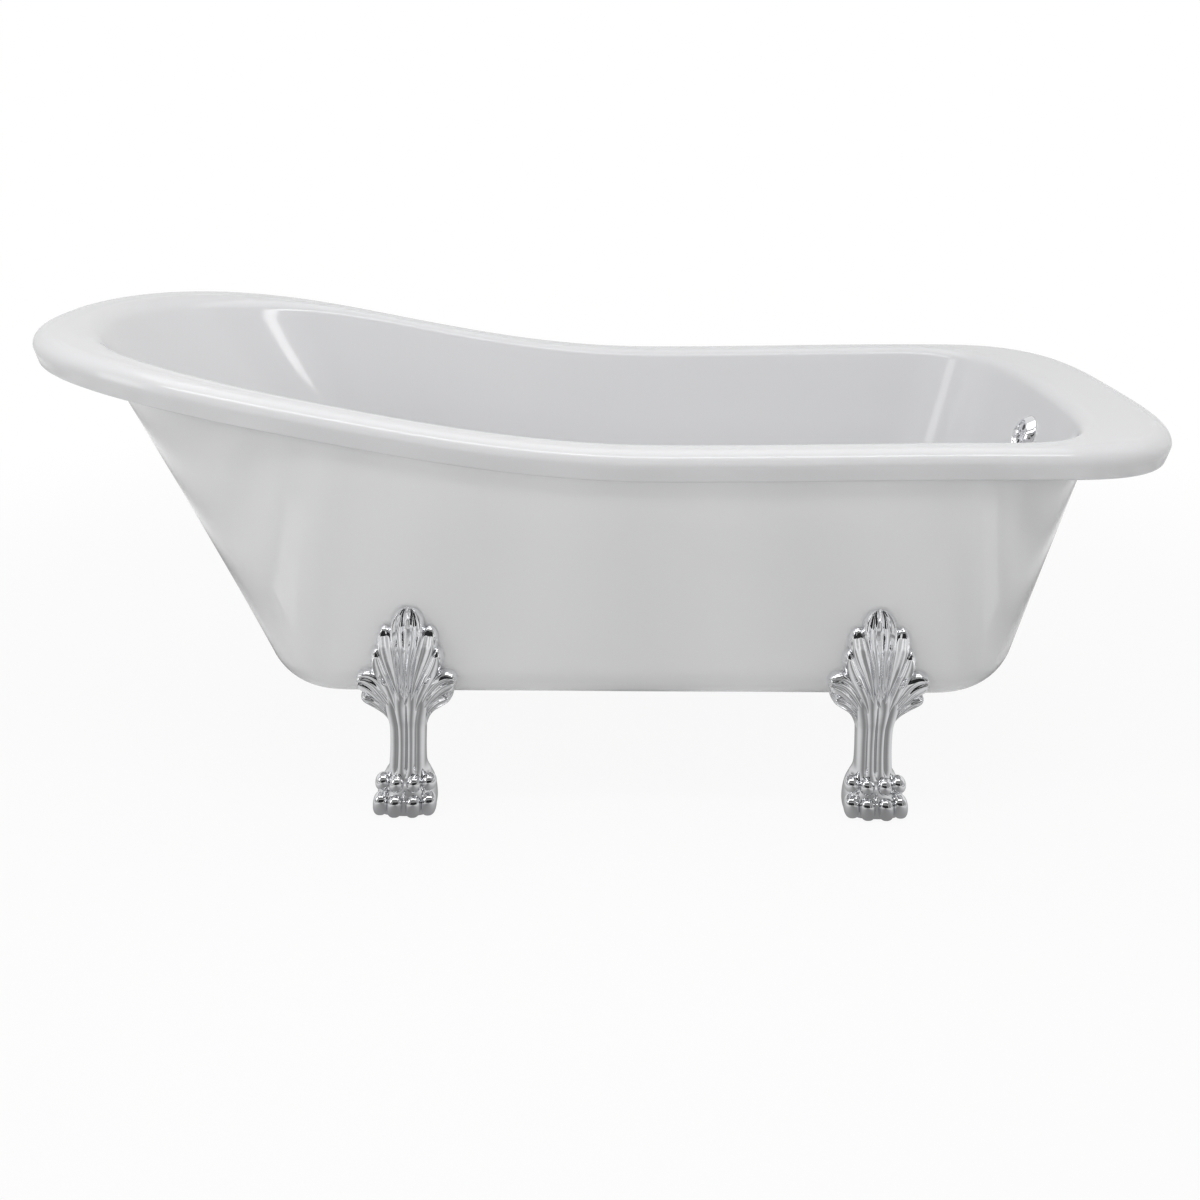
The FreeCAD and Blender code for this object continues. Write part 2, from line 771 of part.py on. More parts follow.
def polygon(sketch, corners):
    """A closed polygon whose corners are pairs of expressions."""
    spots = [Vector(value(x), value(y), 0) for x, y in corners]
    first = sketch.GeometryCount
    for start, stop in zip(spots, spots[1:] + spots[:1]):
        sketch.addGeometry(Part.LineSegment(start, stop))
    for step, (x, y) in enumerate(corners):
        following = first + (step + 1) % len(corners)
        sketch.addConstraint(Sketcher.Constraint("Coincident", first + step, 2, following, 1))
        pin_point(sketch, first + step, 1, x, y)


def circle(sketch, radius, x="0", y="0"):
    """A circle whose radius and centre are expressions."""
    centre = Vector(value(x), value(y), 0)
    edge = sketch.addGeometry(Part.Circle(centre, Vector(0, 0, 1), value(radius)))
    held = sketch.addConstraint(Sketcher.Constraint("Radius", edge, value(radius)))
    sketch.setExpression("Constraints[%d]" % held, radius)
    pin_point(sketch, edge, 3, x, y)


def pad(body, sketch, length):
    """Material of a given length on a sketch."""
    feature = body.newObject("PartDesign::Pad", "Pad")
    feature.Profile = sketch
    bind(feature, Length=length)
    return feature


def drill(body, sketch):
    """A cut right through the body on both sides of the sketch."""
    feature = body.newObject("PartDesign::Pocket", "Pocket")
    feature.Profile = sketch
    feature.Type = "ThroughAll"
    feature.Midplane = True
    return feature


def turned(label, profile):
    """A turned body: a closed profile of (radius, height) expressions about the Z axis."""
    body = new_body(label)
    sketch = sketch_on(body, "XZ_Plane")
    polygon(sketch, profile)
    spin = body.newObject("PartDesign::Revolution", "Revolution")
    spin.Profile = sketch
    spin.ReferenceAxis = (sketch, ["V_Axis"])
    spin.Angle = 360.0
    return body


def washer(label, outer, inner, thickness):
    """A flat ring standing on the XY plane."""
    return turned(
        label, [(inner, "0"), (outer, "0"), (outer, thickness), (inner, thickness)]
    )


def hexagon(across_flats, thickness, x, y, z):
    """A hexagonal prism on a level plane."""
    radius = across_flats / math.sqrt(3.0)
    corners = []
    for step in range(7):
        turn = math.pi * step / 3.0
        corners.append(Vector(x + radius * math.cos(turn), y + radius * math.sin(turn), z))
    return Part.Face(Part.makePolygon(corners)).extrude(Vector(0, 0, thickness))


# ---------------------------------------------------------------------------
# Base board on the skin's floor, and two bearers that carry the basin floor
# ---------------------------------------------------------------------------

board = new_body("base_board")
board_sketch = sketch_on(board, "XY_Plane")
board_half = "(%s - Sizes.board_side_inset)" % SKIN_HALF
board_head = "(%s + Sizes.board_head_inset)" % SKIN_HEAD
board_tap = "(%s - Sizes.board_tap_inset)" % SKIN_TAP
BEARERS = {
    "bearer_head": "(%s + Sizes.bearer_head_inset)" % board_head,
    "bearer_tap": "(%s - Sizes.bearer_tap_inset)" % board_tap,
}
polygon(
    board_sketch,
    [
        (board_head, "-" + board_half),
        (board_tap, "-" + board_half),
        (board_tap, board_half),
        (board_head, board_half),
    ],
)
board_pad = pad(board, board_sketch, "Sizes.board_thickness")
notch_sketch = sketch_on(board, "XY_Plane")
circle(notch_sketch, "Sizes.access_radius + 5", WASTE_X)
drill(board, notch_sketch)
tee_sketch = sketch_on(board, "XY_Plane")
BOLT_LEAN = "(Sizes.foot_lean * Sizes.skin_bottom_height / Sizes.foot_height)"
BOLT_Y = "(%s - Sizes.foot_side_inset - Sizes.bolt_setback)" % SKIN_HALF
BOLT_X = {
    "head": "(%s + Sizes.foot_head_inset + %s)" % (SKIN_HEAD, BOLT_LEAN),
    "tap": "(%s - Sizes.foot_tap_inset - %s)" % (SKIN_TAP, BOLT_LEAN),
}
for end in ("head", "tap"):
    for side in ("-", ""):
        for sign in ("-", "+"):
            x = "%s %s Sizes.bolt_spread" % (BOLT_X[end], sign)
            circle(tee_sketch, "Sizes.tee_barrel_radius + Sizes.fit_gap", x, side + BOLT_Y)
drill(board, tee_sketch)
screw_sketch = sketch_on(board, "XY_Plane")
for x in BEARERS.values():
    for side in ("-", ""):
        circle(
            screw_sketch,
            "Sizes.bearer_screw_radius + Sizes.fit_gap",
            x,
            side + "Sizes.bearer_screw_spread",
        )
drill(board, screw_sketch)
place(board, z=BOARD_LOW)

for label, middle in BEARERS.items():
    bearer = new_body(label)
    profile = sketch_on(bearer, "XY_Plane")
    wide, deep = "Sizes.bearer_width / 2", "Sizes.bearer_length / 2"
    polygon(
        profile, [("-" + wide, "-" + deep), (wide, "-" + deep), (wide, deep), ("-" + wide, deep)]
    )
    low_edge = "(%s - %s - Sizes.bearer_width / 2)" % (WASTE_X, middle)
    basin_under = "(Sizes.basin_floor_height - Sizes.shell_wall)"
    rise = "%s + Sizes.floor_fall * %s - Sizes.fit_gap" % (basin_under, low_edge)
    pad(bearer, profile, "%s - %s" % (rise, BOARD_TOP))
    pilot = sketch_on(bearer, "XY_Plane")
    for side in ("-", ""):
        circle(
            pilot,
            "Sizes.bearer_screw_radius + Sizes.fit_gap",
            "0",
            side + "Sizes.bearer_screw_spread",
        )
    drill(bearer, pilot)
    place(bearer, x=middle, z=BOARD_TOP)

# Countersunk screws up through the board into the bearers
screws = []
for middle in BEARERS.values():
    for side in (-1.0, 1.0):
        x, y = value(middle), side * size("bearer_screw_spread")
        low = value(BOARD_LOW) + size("fit_gap")
        shank = upright(size("bearer_screw_radius"), low, low + size("bearer_screw_length"), x, y)
        screws.append(shank)
bearer_screws = add_feature("bearer_screws", Part.makeCompound(screws))

# ---------------------------------------------------------------------------
# Bolts of the feet with their washers, and tee nuts in the board
# ---------------------------------------------------------------------------

plate_low = size("skin_bottom_height") - size("bracket_thickness")
head_top = plate_low - size("washer_thickness")
board_top = value(BOARD_TOP)
bolts, washers, tees = [], [], []
for x, y in BOLT_PLACES:
    head = hexagon(
        size("bolt_head_flats"), size("bolt_head_height"), x, y, head_top - size("bolt_head_height")
    )
    shank = upright(size("bolt_radius"), head_top, board_top + size("bolt_proud"), x, y)
    bolts.append(head.fuse(shank))
    ring_blank = upright(size("washer_radius"), head_top, plate_low, x, y)
    washers.append(ring_blank.cut(upright(bolt_hole, head_top - 1.0, plate_low + 1.0, x, y)))
    barrel = upright(size("tee_barrel_radius"), value(BOARD_LOW) + 4.0, board_top, x, y)
    brim_top = board_top + size("tee_flange_thickness")
    brim = upright(size("tee_flange_radius"), board_top, brim_top, x, y)
    bore = upright(value(TEE_BORE), 0.0, board_top + 10.0, x, y)
    tees.append(barrel.fuse(brim).cut(bore))
foot_bolts = add_feature("foot_bolts", Part.makeCompound(bolts))
foot_washers = add_feature("foot_washers", Part.makeCompound(washers))
foot_tee_nuts = add_feature("foot_tee_nuts", Part.makeCompound(tees))

# ---------------------------------------------------------------------------
# Levellers: a threaded bush in each paw, and a stud with a pad that screws out of it
# ---------------------------------------------------------------------------

bushes = []
for end, side in FOOT_PLACES:
    x, y = foot_x(end), SIDE_SIGN[side] * foot_y
    low = size("pad_recess_depth")
    blank = upright(size("bush_radius"), low, low + size("bush_length"), x, y)
    bore = size("stud_radius") + size("thread_clearance")
    bushes.append(blank.cut(upright(bore, 0.0, low + size("bush_length") + 5.0, x, y)))
leveller_bushes = add_feature("leveller_bushes", Part.makeCompound(bushes))

STUD_LOW = "(Sizes.pad_lift + Sizes.pad_thickness - Sizes.stud_socket)"
STUD_LENGTH = "(Sizes.stud_length + Sizes.stud_socket)"
FOOT_X = {
    "head": "(%s + Sizes.foot_head_inset)" % SKIN_HEAD,
    "tap": "(%s - Sizes.foot_tap_inset)" % SKIN_TAP,
}
FOOT_Y = {
    "near": "-(%s - Sizes.foot_side_inset)" % SKIN_HALF,
    "far": "(%s - Sizes.foot_side_inset)" % SKIN_HALF,
}
for end, side in FOOT_PLACES:
    tag = "%s_%s" % (side, end)
    stud = doc.addObject("Part::Cylinder", "leveller_stud_" + tag)
    bind(stud, Radius="Sizes.stud_radius", Height=STUD_LENGTH)
    place(stud, FOOT_X[end], FOOT_Y[side], STUD_LOW)
    stud.Label = "leveller_stud_" + tag
    thick = "Sizes.pad_thickness"
    socket = "(Sizes.pad_thickness - Sizes.stud_socket)"
    foot_pad = turned(
        "leveller_pad_" + tag,
        [
            ("0", "0"),
            ("Sizes.pad_radius - 1", "0"),
            ("Sizes.pad_radius", "1.5"),
            ("Sizes.pad_radius", thick),
            ("Sizes.stud_radius", thick),
            ("Sizes.stud_radius", socket),
            ("0", socket),
        ],
    )
    place(foot_pad, FOOT_X[end], FOOT_Y[side], "Sizes.pad_lift")

# ---------------------------------------------------------------------------
# Waste: flanged grid from above, gaskets on both faces of the floor, body below
# ---------------------------------------------------------------------------

waste_ring = turned(
    "waste_ring",
    [
        ("Sizes.spigot_bore", "-Sizes.spigot_length"),
        ("Sizes.spigot_radius", "-Sizes.spigot_length"),
        ("Sizes.spigot_radius", "0"),
        ("Sizes.flange_radius", "0"),
        ("Sizes.flange_radius", "0.8"),
        ("Sizes.flange_radius - 4", "Sizes.flange_thickness"),
        ("Sizes.flange_mouth_radius", "Sizes.flange_thickness"),
        ("Sizes.spigot_bore", "Sizes.flange_mouth_low"),
    ],
)
spokes = []
for step, (wide, deep) in enumerate(
    (
        ("2 * Sizes.spigot_bore + 2", "Sizes.spoke_width"),
        ("Sizes.spoke_width", "2 * Sizes.spigot_bore + 2"),
    )
):
    spoke = doc.addObject("Part::Box", "grid_spoke_%d" % step)
    bind(spoke, Length=wide, Width=deep, Height="Sizes.spoke_height")
    place(spoke, "-(%s) / 2" % wide, "-(%s) / 2" % deep, "-Sizes.spoke_drop")
    spokes.append(spoke)
hub = doc.addObject("Part::Cylinder", "grid_hub")
bind(hub, Radius="Sizes.hub_radius", Height="Sizes.spoke_height")
place(hub, z="-Sizes.spoke_drop")
grid = doc.addObject("Part::MultiFuse", "grid")
grid.Shapes = [waste_ring] + spokes + [hub]
grid_bore = doc.addObject("Part::Cylinder", "grid_bore")
bind(grid_bore, Radius="Sizes.hub_bore", Height="Sizes.spoke_height + 20")
place(grid_bore, z="-Sizes.spoke_drop - 10")
waste_flange = doc.addObject("Part::Cut", "waste_flange")
waste_flange.Base = grid
waste_flange.Tool = grid_bore
waste_flange.Label = "waste_flange"
place(waste_flange, WASTE_X, "0", FLANGE_LOW)

upper = washer(
    "waste_gasket_upper",
    "Sizes.flange_radius - 1",
    "Sizes.spigot_radius + Sizes.fit_gap",
    "Sizes.gasket_thickness",
)
place(upper, WASTE_X, "0", SEAT_TOP)
lower = washer(
    "waste_gasket_lower",
    "Sizes.body_flange_radius",
    "Sizes.spigot_radius + Sizes.fit_gap",
    "Sizes.gasket_thickness",
)
place(lower, WASTE_X, "0", BODY_TOP)

waste_cup = turned(
    "waste_cup",
    [
        ("Sizes.tail_bore", "-Sizes.body_depth - Sizes.tail_length"),
        ("Sizes.tail_radius", "-Sizes.body_depth - Sizes.tail_length"),
        ("Sizes.tail_radius", "-Sizes.body_depth"),
        ("Sizes.body_radius", "-Sizes.body_depth"),
        ("Sizes.body_radius", "-Sizes.body_flange_thickness"),
        ("Sizes.body_flange_radius", "-Sizes.body_flange_thickness"),
        ("Sizes.body_flange_radius", "0"),
        ("Sizes.spigot_radius + Sizes.thread_clearance", "0"),
        ("Sizes.spigot_radius + Sizes.thread_clearance", "-Sizes.spigot_length - 2"),
        ("Sizes.tail_bore", "-Sizes.spigot_length - 2"),
    ],
)
inlet = doc.addObject("Part::Cylinder", "inlet")
inlet_bore = doc.addObject("Part::Cylinder", "inlet_bore")
for tube, radius, start in (
    (inlet, "Sizes.inlet_radius", "Sizes.body_radius - 2"),
    (inlet_bore, "Sizes.inlet_bore", "Sizes.spigot_radius - 1"),
):
    tube.Placement.Rotation = FreeCAD.Rotation(Vector(0, 1, 0), 90)
    bind(tube, Radius=radius, Height="Sizes.body_radius + Sizes.inlet_length - (%s)" % start)
    place(tube, start, "0", "-Sizes.inlet_drop")
cup_and_inlet = doc.addObject("Part::MultiFuse", "cup_and_inlet")
cup_and_inlet.Shapes = [waste_cup, inlet]
waste_body = doc.addObject("Part::Cut", "waste_body")
waste_body.Base = cup_and_inlet
waste_body.Tool = inlet_bore
waste_body.Label = "waste_body"
place(waste_body, WASTE_X, "0", BODY_TOP)

# ---------------------------------------------------------------------------
# Click-clack plug: domed cap with a seal, on a stem that slides in a sprung cartridge
# ---------------------------------------------------------------------------

# The mouth of the grid is a shallow cone, and the cap closes with its seal just inside it.
CAP_LOW = "(%s + Sizes.flange_thickness + Sizes.plug_gap)" % FLANGE_LOW
plug_cap = turned(
    "plug_cap",
    [
        ("0", "0"),
        ("Sizes.plug_radius - 1", "0"),
        ("Sizes.plug_radius", "1"),
        ("Sizes.plug_radius", "Sizes.plug_thickness - 0.8"),
        ("Sizes.plug_radius - 3", "Sizes.plug_thickness + Sizes.plug_crown * 0.25"),
        ("Sizes.plug_radius * 0.6", "Sizes.plug_thickness + Sizes.plug_crown * 0.75"),
        ("Sizes.plug_radius * 0.3", "Sizes.plug_thickness + Sizes.plug_crown * 0.95"),
        ("0", "Sizes.plug_thickness + Sizes.plug_crown"),
    ],
)
place(plug_cap, WASTE_X, "0", CAP_LOW)
plug_seal = washer(
    "plug_seal", "Sizes.plug_seal_radius", "Sizes.plug_seal_bore", "Sizes.plug_seal_thickness"
)
place(plug_seal, WASTE_X, "0", CAP_LOW + " - Sizes.plug_seal_thickness")
plug_stem = doc.addObject("Part::Cylinder", "plug_stem")
bind(plug_stem, Radius="Sizes.stem_radius", Height="Sizes.stem_length")
place(plug_stem, WASTE_X, "0", CAP_LOW + " - Sizes.stem_length")
plug_stem.Label = "plug_stem"

CARTRIDGE_TOP = "(%s - Sizes.spoke_drop)" % FLANGE_LOW
plug_cartridge = turned(
    "plug_cartridge",
    [
        ("Sizes.stem_radius + Sizes.thread_clearance", "-Sizes.cartridge_length"),
        ("Sizes.cartridge_radius", "-Sizes.cartridge_length"),
        ("Sizes.cartridge_radius", "0"),
        ("Sizes.hub_bore", "0"),
        ("Sizes.hub_bore", "Sizes.spoke_height + 1"),
        ("Sizes.stem_radius + Sizes.thread_clearance", "Sizes.spoke_height + 1"),
    ],
)
place(plug_cartridge, WASTE_X, "0", CARTRIDGE_TOP)

# ---------------------------------------------------------------------------
# Overflow: rosette and knob on the tap-end wall, gasket and elbow behind it
# ---------------------------------------------------------------------------


def on_overflow(target, depth):
    """Set a piece on the overflow's axis, its own +Z into the basin from a depth behind it."""
    target.Placement = FreeCAD.Placement(overflow_point + inward * depth, overflow_turn)


rosette = turned(
    "rosette",
    [
        ("Sizes.rosette_radius - Sizes.rosette_wall", "0"),
        ("Sizes.rosette_radius", "0"),
        ("Sizes.rosette_radius - 1", "3"),
        ("Sizes.rosette_front_radius", "Sizes.rosette_depth"),
        ("Sizes.rosette_front_radius - Sizes.rosette_wall", "Sizes.rosette_depth"),
        ("Sizes.rosette_front_radius - 5", "Sizes.rosette_dish"),
        ("Sizes.screw_radius + Sizes.fit_gap", "Sizes.rosette_dish"),
        ("Sizes.screw_radius + Sizes.fit_gap", "Sizes.rosette_dish - Sizes.rosette_web"),
        ("Sizes.rosette_front_radius - 4", "Sizes.rosette_dish - Sizes.rosette_web"),
    ],
)
slots = []
for step in range(int(size("rosette_slots"))):
    slot = doc.addObject("Part::Cylinder", "rosette_slot_%d" % step)
    turn = 360.0 * step / size("rosette_slots")
    bind(slot, Radius="Sizes.rosette_slot_radius", Height="Sizes.rosette_depth + 10")
    place(
        slot,
        "Sizes.rosette_slot_pitch * cos(%.6f)" % turn,
        "Sizes.rosette_slot_pitch * sin(%.6f)" % turn,
        "-5",
    )
    slots.append(slot)
slot_ring = doc.addObject("Part::MultiFuse", "rosette_slots")
slot_ring.Shapes = slots
overflow_cover = doc.addObject("Part::Cut", "overflow_cover")
overflow_cover.Base = rosette
overflow_cover.Tool = slot_ring
overflow_cover.Label = "overflow_cover"
on_overflow(overflow_cover, size("overflow_ease"))

SCREW_REACH = "(Sizes.shell_wall + Sizes.elbow_depth - 4)"
overflow_knob = turned(
    "overflow_knob",
    [
        ("0", "-" + SCREW_REACH),
        ("Sizes.screw_radius", "-" + SCREW_REACH),
        ("Sizes.screw_radius", "Sizes.rosette_dish"),
        ("Sizes.knob_radius", "Sizes.rosette_dish"),
        ("Sizes.knob_radius", "Sizes.rosette_depth + Sizes.knob_proud - 3"),
        ("Sizes.knob_radius - 2.5", "Sizes.rosette_depth + Sizes.knob_proud - 0.6"),
        ("0", "Sizes.rosette_depth + Sizes.knob_proud"),
    ],
)
on_overflow(overflow_knob, size("overflow_ease"))

overflow_gasket = washer(
    "overflow_gasket",
    "Sizes.overflow_gasket_radius",
    "Sizes.elbow_radius + Sizes.fit_gap",
    "Sizes.overflow_gasket_thickness",
)
wall_back = -size("shell_wall") - size("overflow_ease")
on_overflow(overflow_gasket, wall_back - size("overflow_gasket_thickness"))

FLANGE_BACK = "-(Sizes.overflow_gasket_thickness + Sizes.elbow_flange_thickness)"
CHAMBER_BACK = "-(Sizes.overflow_gasket_thickness + Sizes.elbow_depth)"
elbow_cup = turned(
    "elbow_cup",
    [
        ("0", CHAMBER_BACK),
        ("Sizes.elbow_chamber_radius", CHAMBER_BACK),
        ("Sizes.elbow_chamber_radius", FLANGE_BACK),
        ("Sizes.elbow_flange_radius", FLANGE_BACK),
        ("Sizes.elbow_flange_radius", "-Sizes.overflow_gasket_thickness"),
        ("Sizes.elbow_radius", "-Sizes.overflow_gasket_thickness"),
        ("Sizes.elbow_radius", "Sizes.shell_wall - 1"),
        ("Sizes.elbow_chamber_radius - Sizes.elbow_wall", "Sizes.shell_wall - 1"),
        ("Sizes.elbow_chamber_radius - Sizes.elbow_wall", CHAMBER_BACK + " + Sizes.elbow_wall"),
        ("Sizes.elbow_boss_radius", CHAMBER_BACK + " + Sizes.elbow_wall"),
        ("Sizes.elbow_boss_radius", "-6"),
        ("Sizes.screw_radius + Sizes.thread_clearance", "-6"),
        ("Sizes.screw_radius + Sizes.thread_clearance", CHAMBER_BACK + " + Sizes.elbow_wall"),
        ("0", CHAMBER_BACK + " + Sizes.elbow_wall"),
    ],
)
outlet = doc.addObject("Part::Cylinder", "outlet")
outlet_bore = doc.addObject("Part::Cylinder", "outlet_bore")
chamber_in = "(Sizes.elbow_chamber_radius - Sizes.elbow_wall)"
for tube, radius, start in (
    (outlet, "Sizes.inlet_radius", chamber_in + " + 1"),
    (outlet_bore, "Sizes.inlet_bore", chamber_in + " - 3"),
):
    tube.Placement.Rotation = FreeCAD.Rotation(Vector(0, 1, 0), -90)
    reach = "Sizes.elbow_chamber_radius + Sizes.outlet_length - (%s)" % start
    bind(tube, Radius=radius, Height=reach)
    place(tube, "-(%s)" % start, "0", "-Sizes.outlet_setback")
cup_and_outlet = doc.addObject("Part::MultiFuse", "cup_and_outlet")
cup_and_outlet.Shapes = [elbow_cup, outlet]
overflow_elbow = doc.addObject("Part::Cut", "overflow_elbow")
overflow_elbow.Base = cup_and_outlet
overflow_elbow.Tool = outlet_bore
overflow_elbow.Label = "overflow_elbow"
on_overflow(overflow_elbow, wall_back)

# ---------------------------------------------------------------------------
# Overflow hose down the space between basin and skin, with a nut at each end
# ---------------------------------------------------------------------------

along_wall = Vector(math.sin(tap_slope), 0, math.cos(tap_slope))
outlet_axis = overflow_point - inward * (size("shell_wall") + size("outlet_setback"))
hose_top = outlet_axis - along_wall * (size("elbow_chamber_radius") + size("hose_top_gap"))
inlet_height = value(BODY_TOP) - size("inlet_drop")
hose_low = Vector(waste_x + size("body_radius") + size("hose_start"), 0, inlet_height)
corner = hose_top - along_wall * ((hose_top.z - inlet_height) / along_wall.z)
turn = 0.5 * math.pi - tap_slope
tangent = size("hose_bend") * math.tan(0.5 * turn)
bend_start = corner - Vector(tangent, 0, 0)
bend_stop = corner + along_wall * tangent
bend_centre = bend_start + Vector(0, 0, size("hose_bend"))
bend_middle = bend_centre + (corner - bend_centre).normalize() * size("hose_bend")
route = Part.Wire(
    [
        Part.LineSegment(hose_low, bend_start).toShape(),
        Part.Arc(bend_start, bend_middle, bend_stop).toShape(),
        Part.LineSegment(bend_stop, hose_top).toShape(),
    ]
)


def tube_on_route(radius):
    """A solid tube of one radius along the hose's route."""
    rim = Part.Wire([Part.makeCircle(radius, hose_low, Vector(1, 0, 0))])
    return route.makePipeShell([rim], True, True)


hose = tube_on_route(size("hose_radius")).cut(tube_on_route(size("hose_bore")))
hose_section = math.pi * (size("hose_radius") ** 2 - size("hose_bore") ** 2)
print("hose volume over section times length", hose.Volume / (hose_section * route.Length))
overflow_hose = add_feature("overflow_hose", hose)


def hose_nut(start, direction):
    """A ribbed ring that clamps the hose's end on its tube."""
    blank = Part.makeCylinder(size("nut_radius"), size("nut_length"), start, direction)
    bore = size("hose_radius") + size("thread_clearance")
    through = size("nut_length") + 2.0
    solid = blank.cut(Part.makeCylinder(bore, through, start - direction, direction))
    side = direction.cross(Vector(0, 1, 0))
    flutes = int(size("nut_flutes"))
    for step in range(flutes):
        turn = 2.0 * math.pi * step / flutes
        arm = side * math.cos(turn) + Vector(0, 1, 0) * math.sin(turn)
        flute = start - direction + arm * (size("nut_radius") + 1.0)
        solid = solid.cut(Part.makeCylinder(size("nut_flute_radius"), through, flute, direction))
    return solid


hose_nut_top = add_feature("hose_nut_top", hose_nut(hose_top, along_wall * -1.0))
hose_nut_low = add_feature("hose_nut_low", hose_nut(hose_low, Vector(1, 0, 0)))

# ---------------------------------------------------------------------------
# Spring of the plug, round its stem between the cartridge and the cap
# ---------------------------------------------------------------------------

spring_low = value(CARTRIDGE_TOP) + size("spoke_height") + 1.0 + size("spring_wire")
spring_high = value(CAP_LOW) - size("spring_wire")
helix = Part.makeHelix(
    (spring_high - spring_low) / size("spring_turns"),
    spring_high - spring_low,
    size("spring_radius"),
)
wire_end = Part.makeCircle(
    size("spring_wire") / 2.0, Vector(size("spring_radius"), 0, 0), Vector(0, 1, 0)
)
coil = Part.Wire(helix).makePipeShell([Part.Wire([wire_end])], True, True)
plug_spring = add_feature("plug_spring", coil)
plug_spring.Placement.Base = Vector(waste_x, 0, spring_low)

# ---------------------------------------------------------------------------
# Check every object, then write one file for each sub-part
# ---------------------------------------------------------------------------

NODES = [
    "bath_shell",
    "outer_skin",
    "seam_bead",
    "base_board",
    "bearer_head",
    "bearer_tap",
    "bearer_screws",
    "foot_near_head",
    "foot_near_tap",
    "foot_far_head",
    "foot_far_tap",
    "foot_bolts",
    "foot_washers",
    "foot_tee_nuts",
    "leveller_bushes",
    "leveller_stud_near_head",
    "leveller_stud_near_tap",
    "leveller_stud_far_head",
    "leveller_stud_far_tap",
    "leveller_pad_near_head",
    "leveller_pad_near_tap",
    "leveller_pad_far_head",
    "leveller_pad_far_tap",
    "waste_flange",
    "waste_gasket_upper",
    "waste_gasket_lower",
    "waste_body",
    "plug_cap",
    "plug_seal",
    "plug_stem",
    "plug_cartridge",
    "plug_spring",
    "overflow_cover",
    "overflow_knob",
    "overflow_gasket",
    "overflow_elbow",
    "overflow_hose",
    "hose_nut_top",
    "hose_nut_low",
]

doc.recompute()
for item in doc.Objects:
    if {"Invalid", "Error"} & set(item.State):
        raise RuntimeError("%s did not recompute: %s" % (item.Label, item.State))

for label in NODES:
    shape = doc.getObjectsByLabel(label)[0].Shape
    if shape.isNull() or not shape.isValid():
        raise RuntimeError("%s has no valid shape" % label)
    print("%-26s %2d solids %12.1f mm3" % (label, len(shape.Solids), shape.Volume))
for label in NODES:
    doc.getObjectsByLabel(label)[0].Shape.exportStep("parts/%s.step" % label)
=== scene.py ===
import json
import math

import bmesh
import bpy
import numpy as np
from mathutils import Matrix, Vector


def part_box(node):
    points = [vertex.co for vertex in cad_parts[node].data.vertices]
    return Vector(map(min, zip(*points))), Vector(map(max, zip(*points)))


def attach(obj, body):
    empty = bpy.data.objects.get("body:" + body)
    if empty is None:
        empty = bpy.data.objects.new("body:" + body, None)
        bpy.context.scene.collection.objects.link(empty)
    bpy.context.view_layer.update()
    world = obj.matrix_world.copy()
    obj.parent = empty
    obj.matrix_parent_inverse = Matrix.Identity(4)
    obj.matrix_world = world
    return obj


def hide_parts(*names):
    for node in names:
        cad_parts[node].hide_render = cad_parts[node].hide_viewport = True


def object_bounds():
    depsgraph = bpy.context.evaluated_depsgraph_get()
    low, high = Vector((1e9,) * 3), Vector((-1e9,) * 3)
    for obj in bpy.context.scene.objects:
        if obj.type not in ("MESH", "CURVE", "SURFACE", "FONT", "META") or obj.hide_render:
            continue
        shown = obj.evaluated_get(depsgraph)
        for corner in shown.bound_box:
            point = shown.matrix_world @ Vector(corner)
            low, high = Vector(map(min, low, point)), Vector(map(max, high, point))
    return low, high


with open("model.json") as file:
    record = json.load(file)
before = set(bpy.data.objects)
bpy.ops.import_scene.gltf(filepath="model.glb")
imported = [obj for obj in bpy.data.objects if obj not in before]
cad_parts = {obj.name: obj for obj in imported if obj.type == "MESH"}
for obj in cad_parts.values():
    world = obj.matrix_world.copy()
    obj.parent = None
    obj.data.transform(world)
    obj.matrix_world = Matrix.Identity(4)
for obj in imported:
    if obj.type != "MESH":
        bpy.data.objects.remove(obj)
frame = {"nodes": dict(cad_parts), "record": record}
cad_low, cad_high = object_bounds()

nodes = frame["nodes"]

# ---------------------------------------------------------------------------
# Camera
# The view stands in front of the bath, above its rim, and looks down at it. Its place, pitch and
# focal length were fitted to the outline of rim, skin and feet in the photograph.
# ---------------------------------------------------------------------------

VIEW_PLACE = (0.033519, -1.929569, 1.053631)
VIEW_PITCH = 0.398452
VIEW_YAW = 0.012
SENSOR_WIDTH = 36.0
FOCAL_PIXELS = 1205.176
FRAME_PIXELS = 1200.0
CLIP_NEAR, CLIP_FAR = 0.05, 60.0

camera = bpy.data.objects.new("camera", bpy.data.cameras.new("camera"))
bpy.context.scene.collection.objects.link(camera)
camera.location = VIEW_PLACE
camera.rotation_euler = (0.5 * math.pi - VIEW_PITCH, 0.0, VIEW_YAW)
camera.data.sensor_width = SENSOR_WIDTH
camera.data.lens = SENSOR_WIDTH * FOCAL_PIXELS / FRAME_PIXELS
camera.data.clip_start = CLIP_NEAR
camera.data.clip_end = CLIP_FAR
bpy.context.scene.camera = camera

# ---------------------------------------------------------------------------
# Basin with its rolled rim
# One sheet of white acrylic, drawn down into a mould: the lip turns down outside, the rim rolls
# over to the deck and the walls run down to a flat floor with rounded corners.
# ---------------------------------------------------------------------------

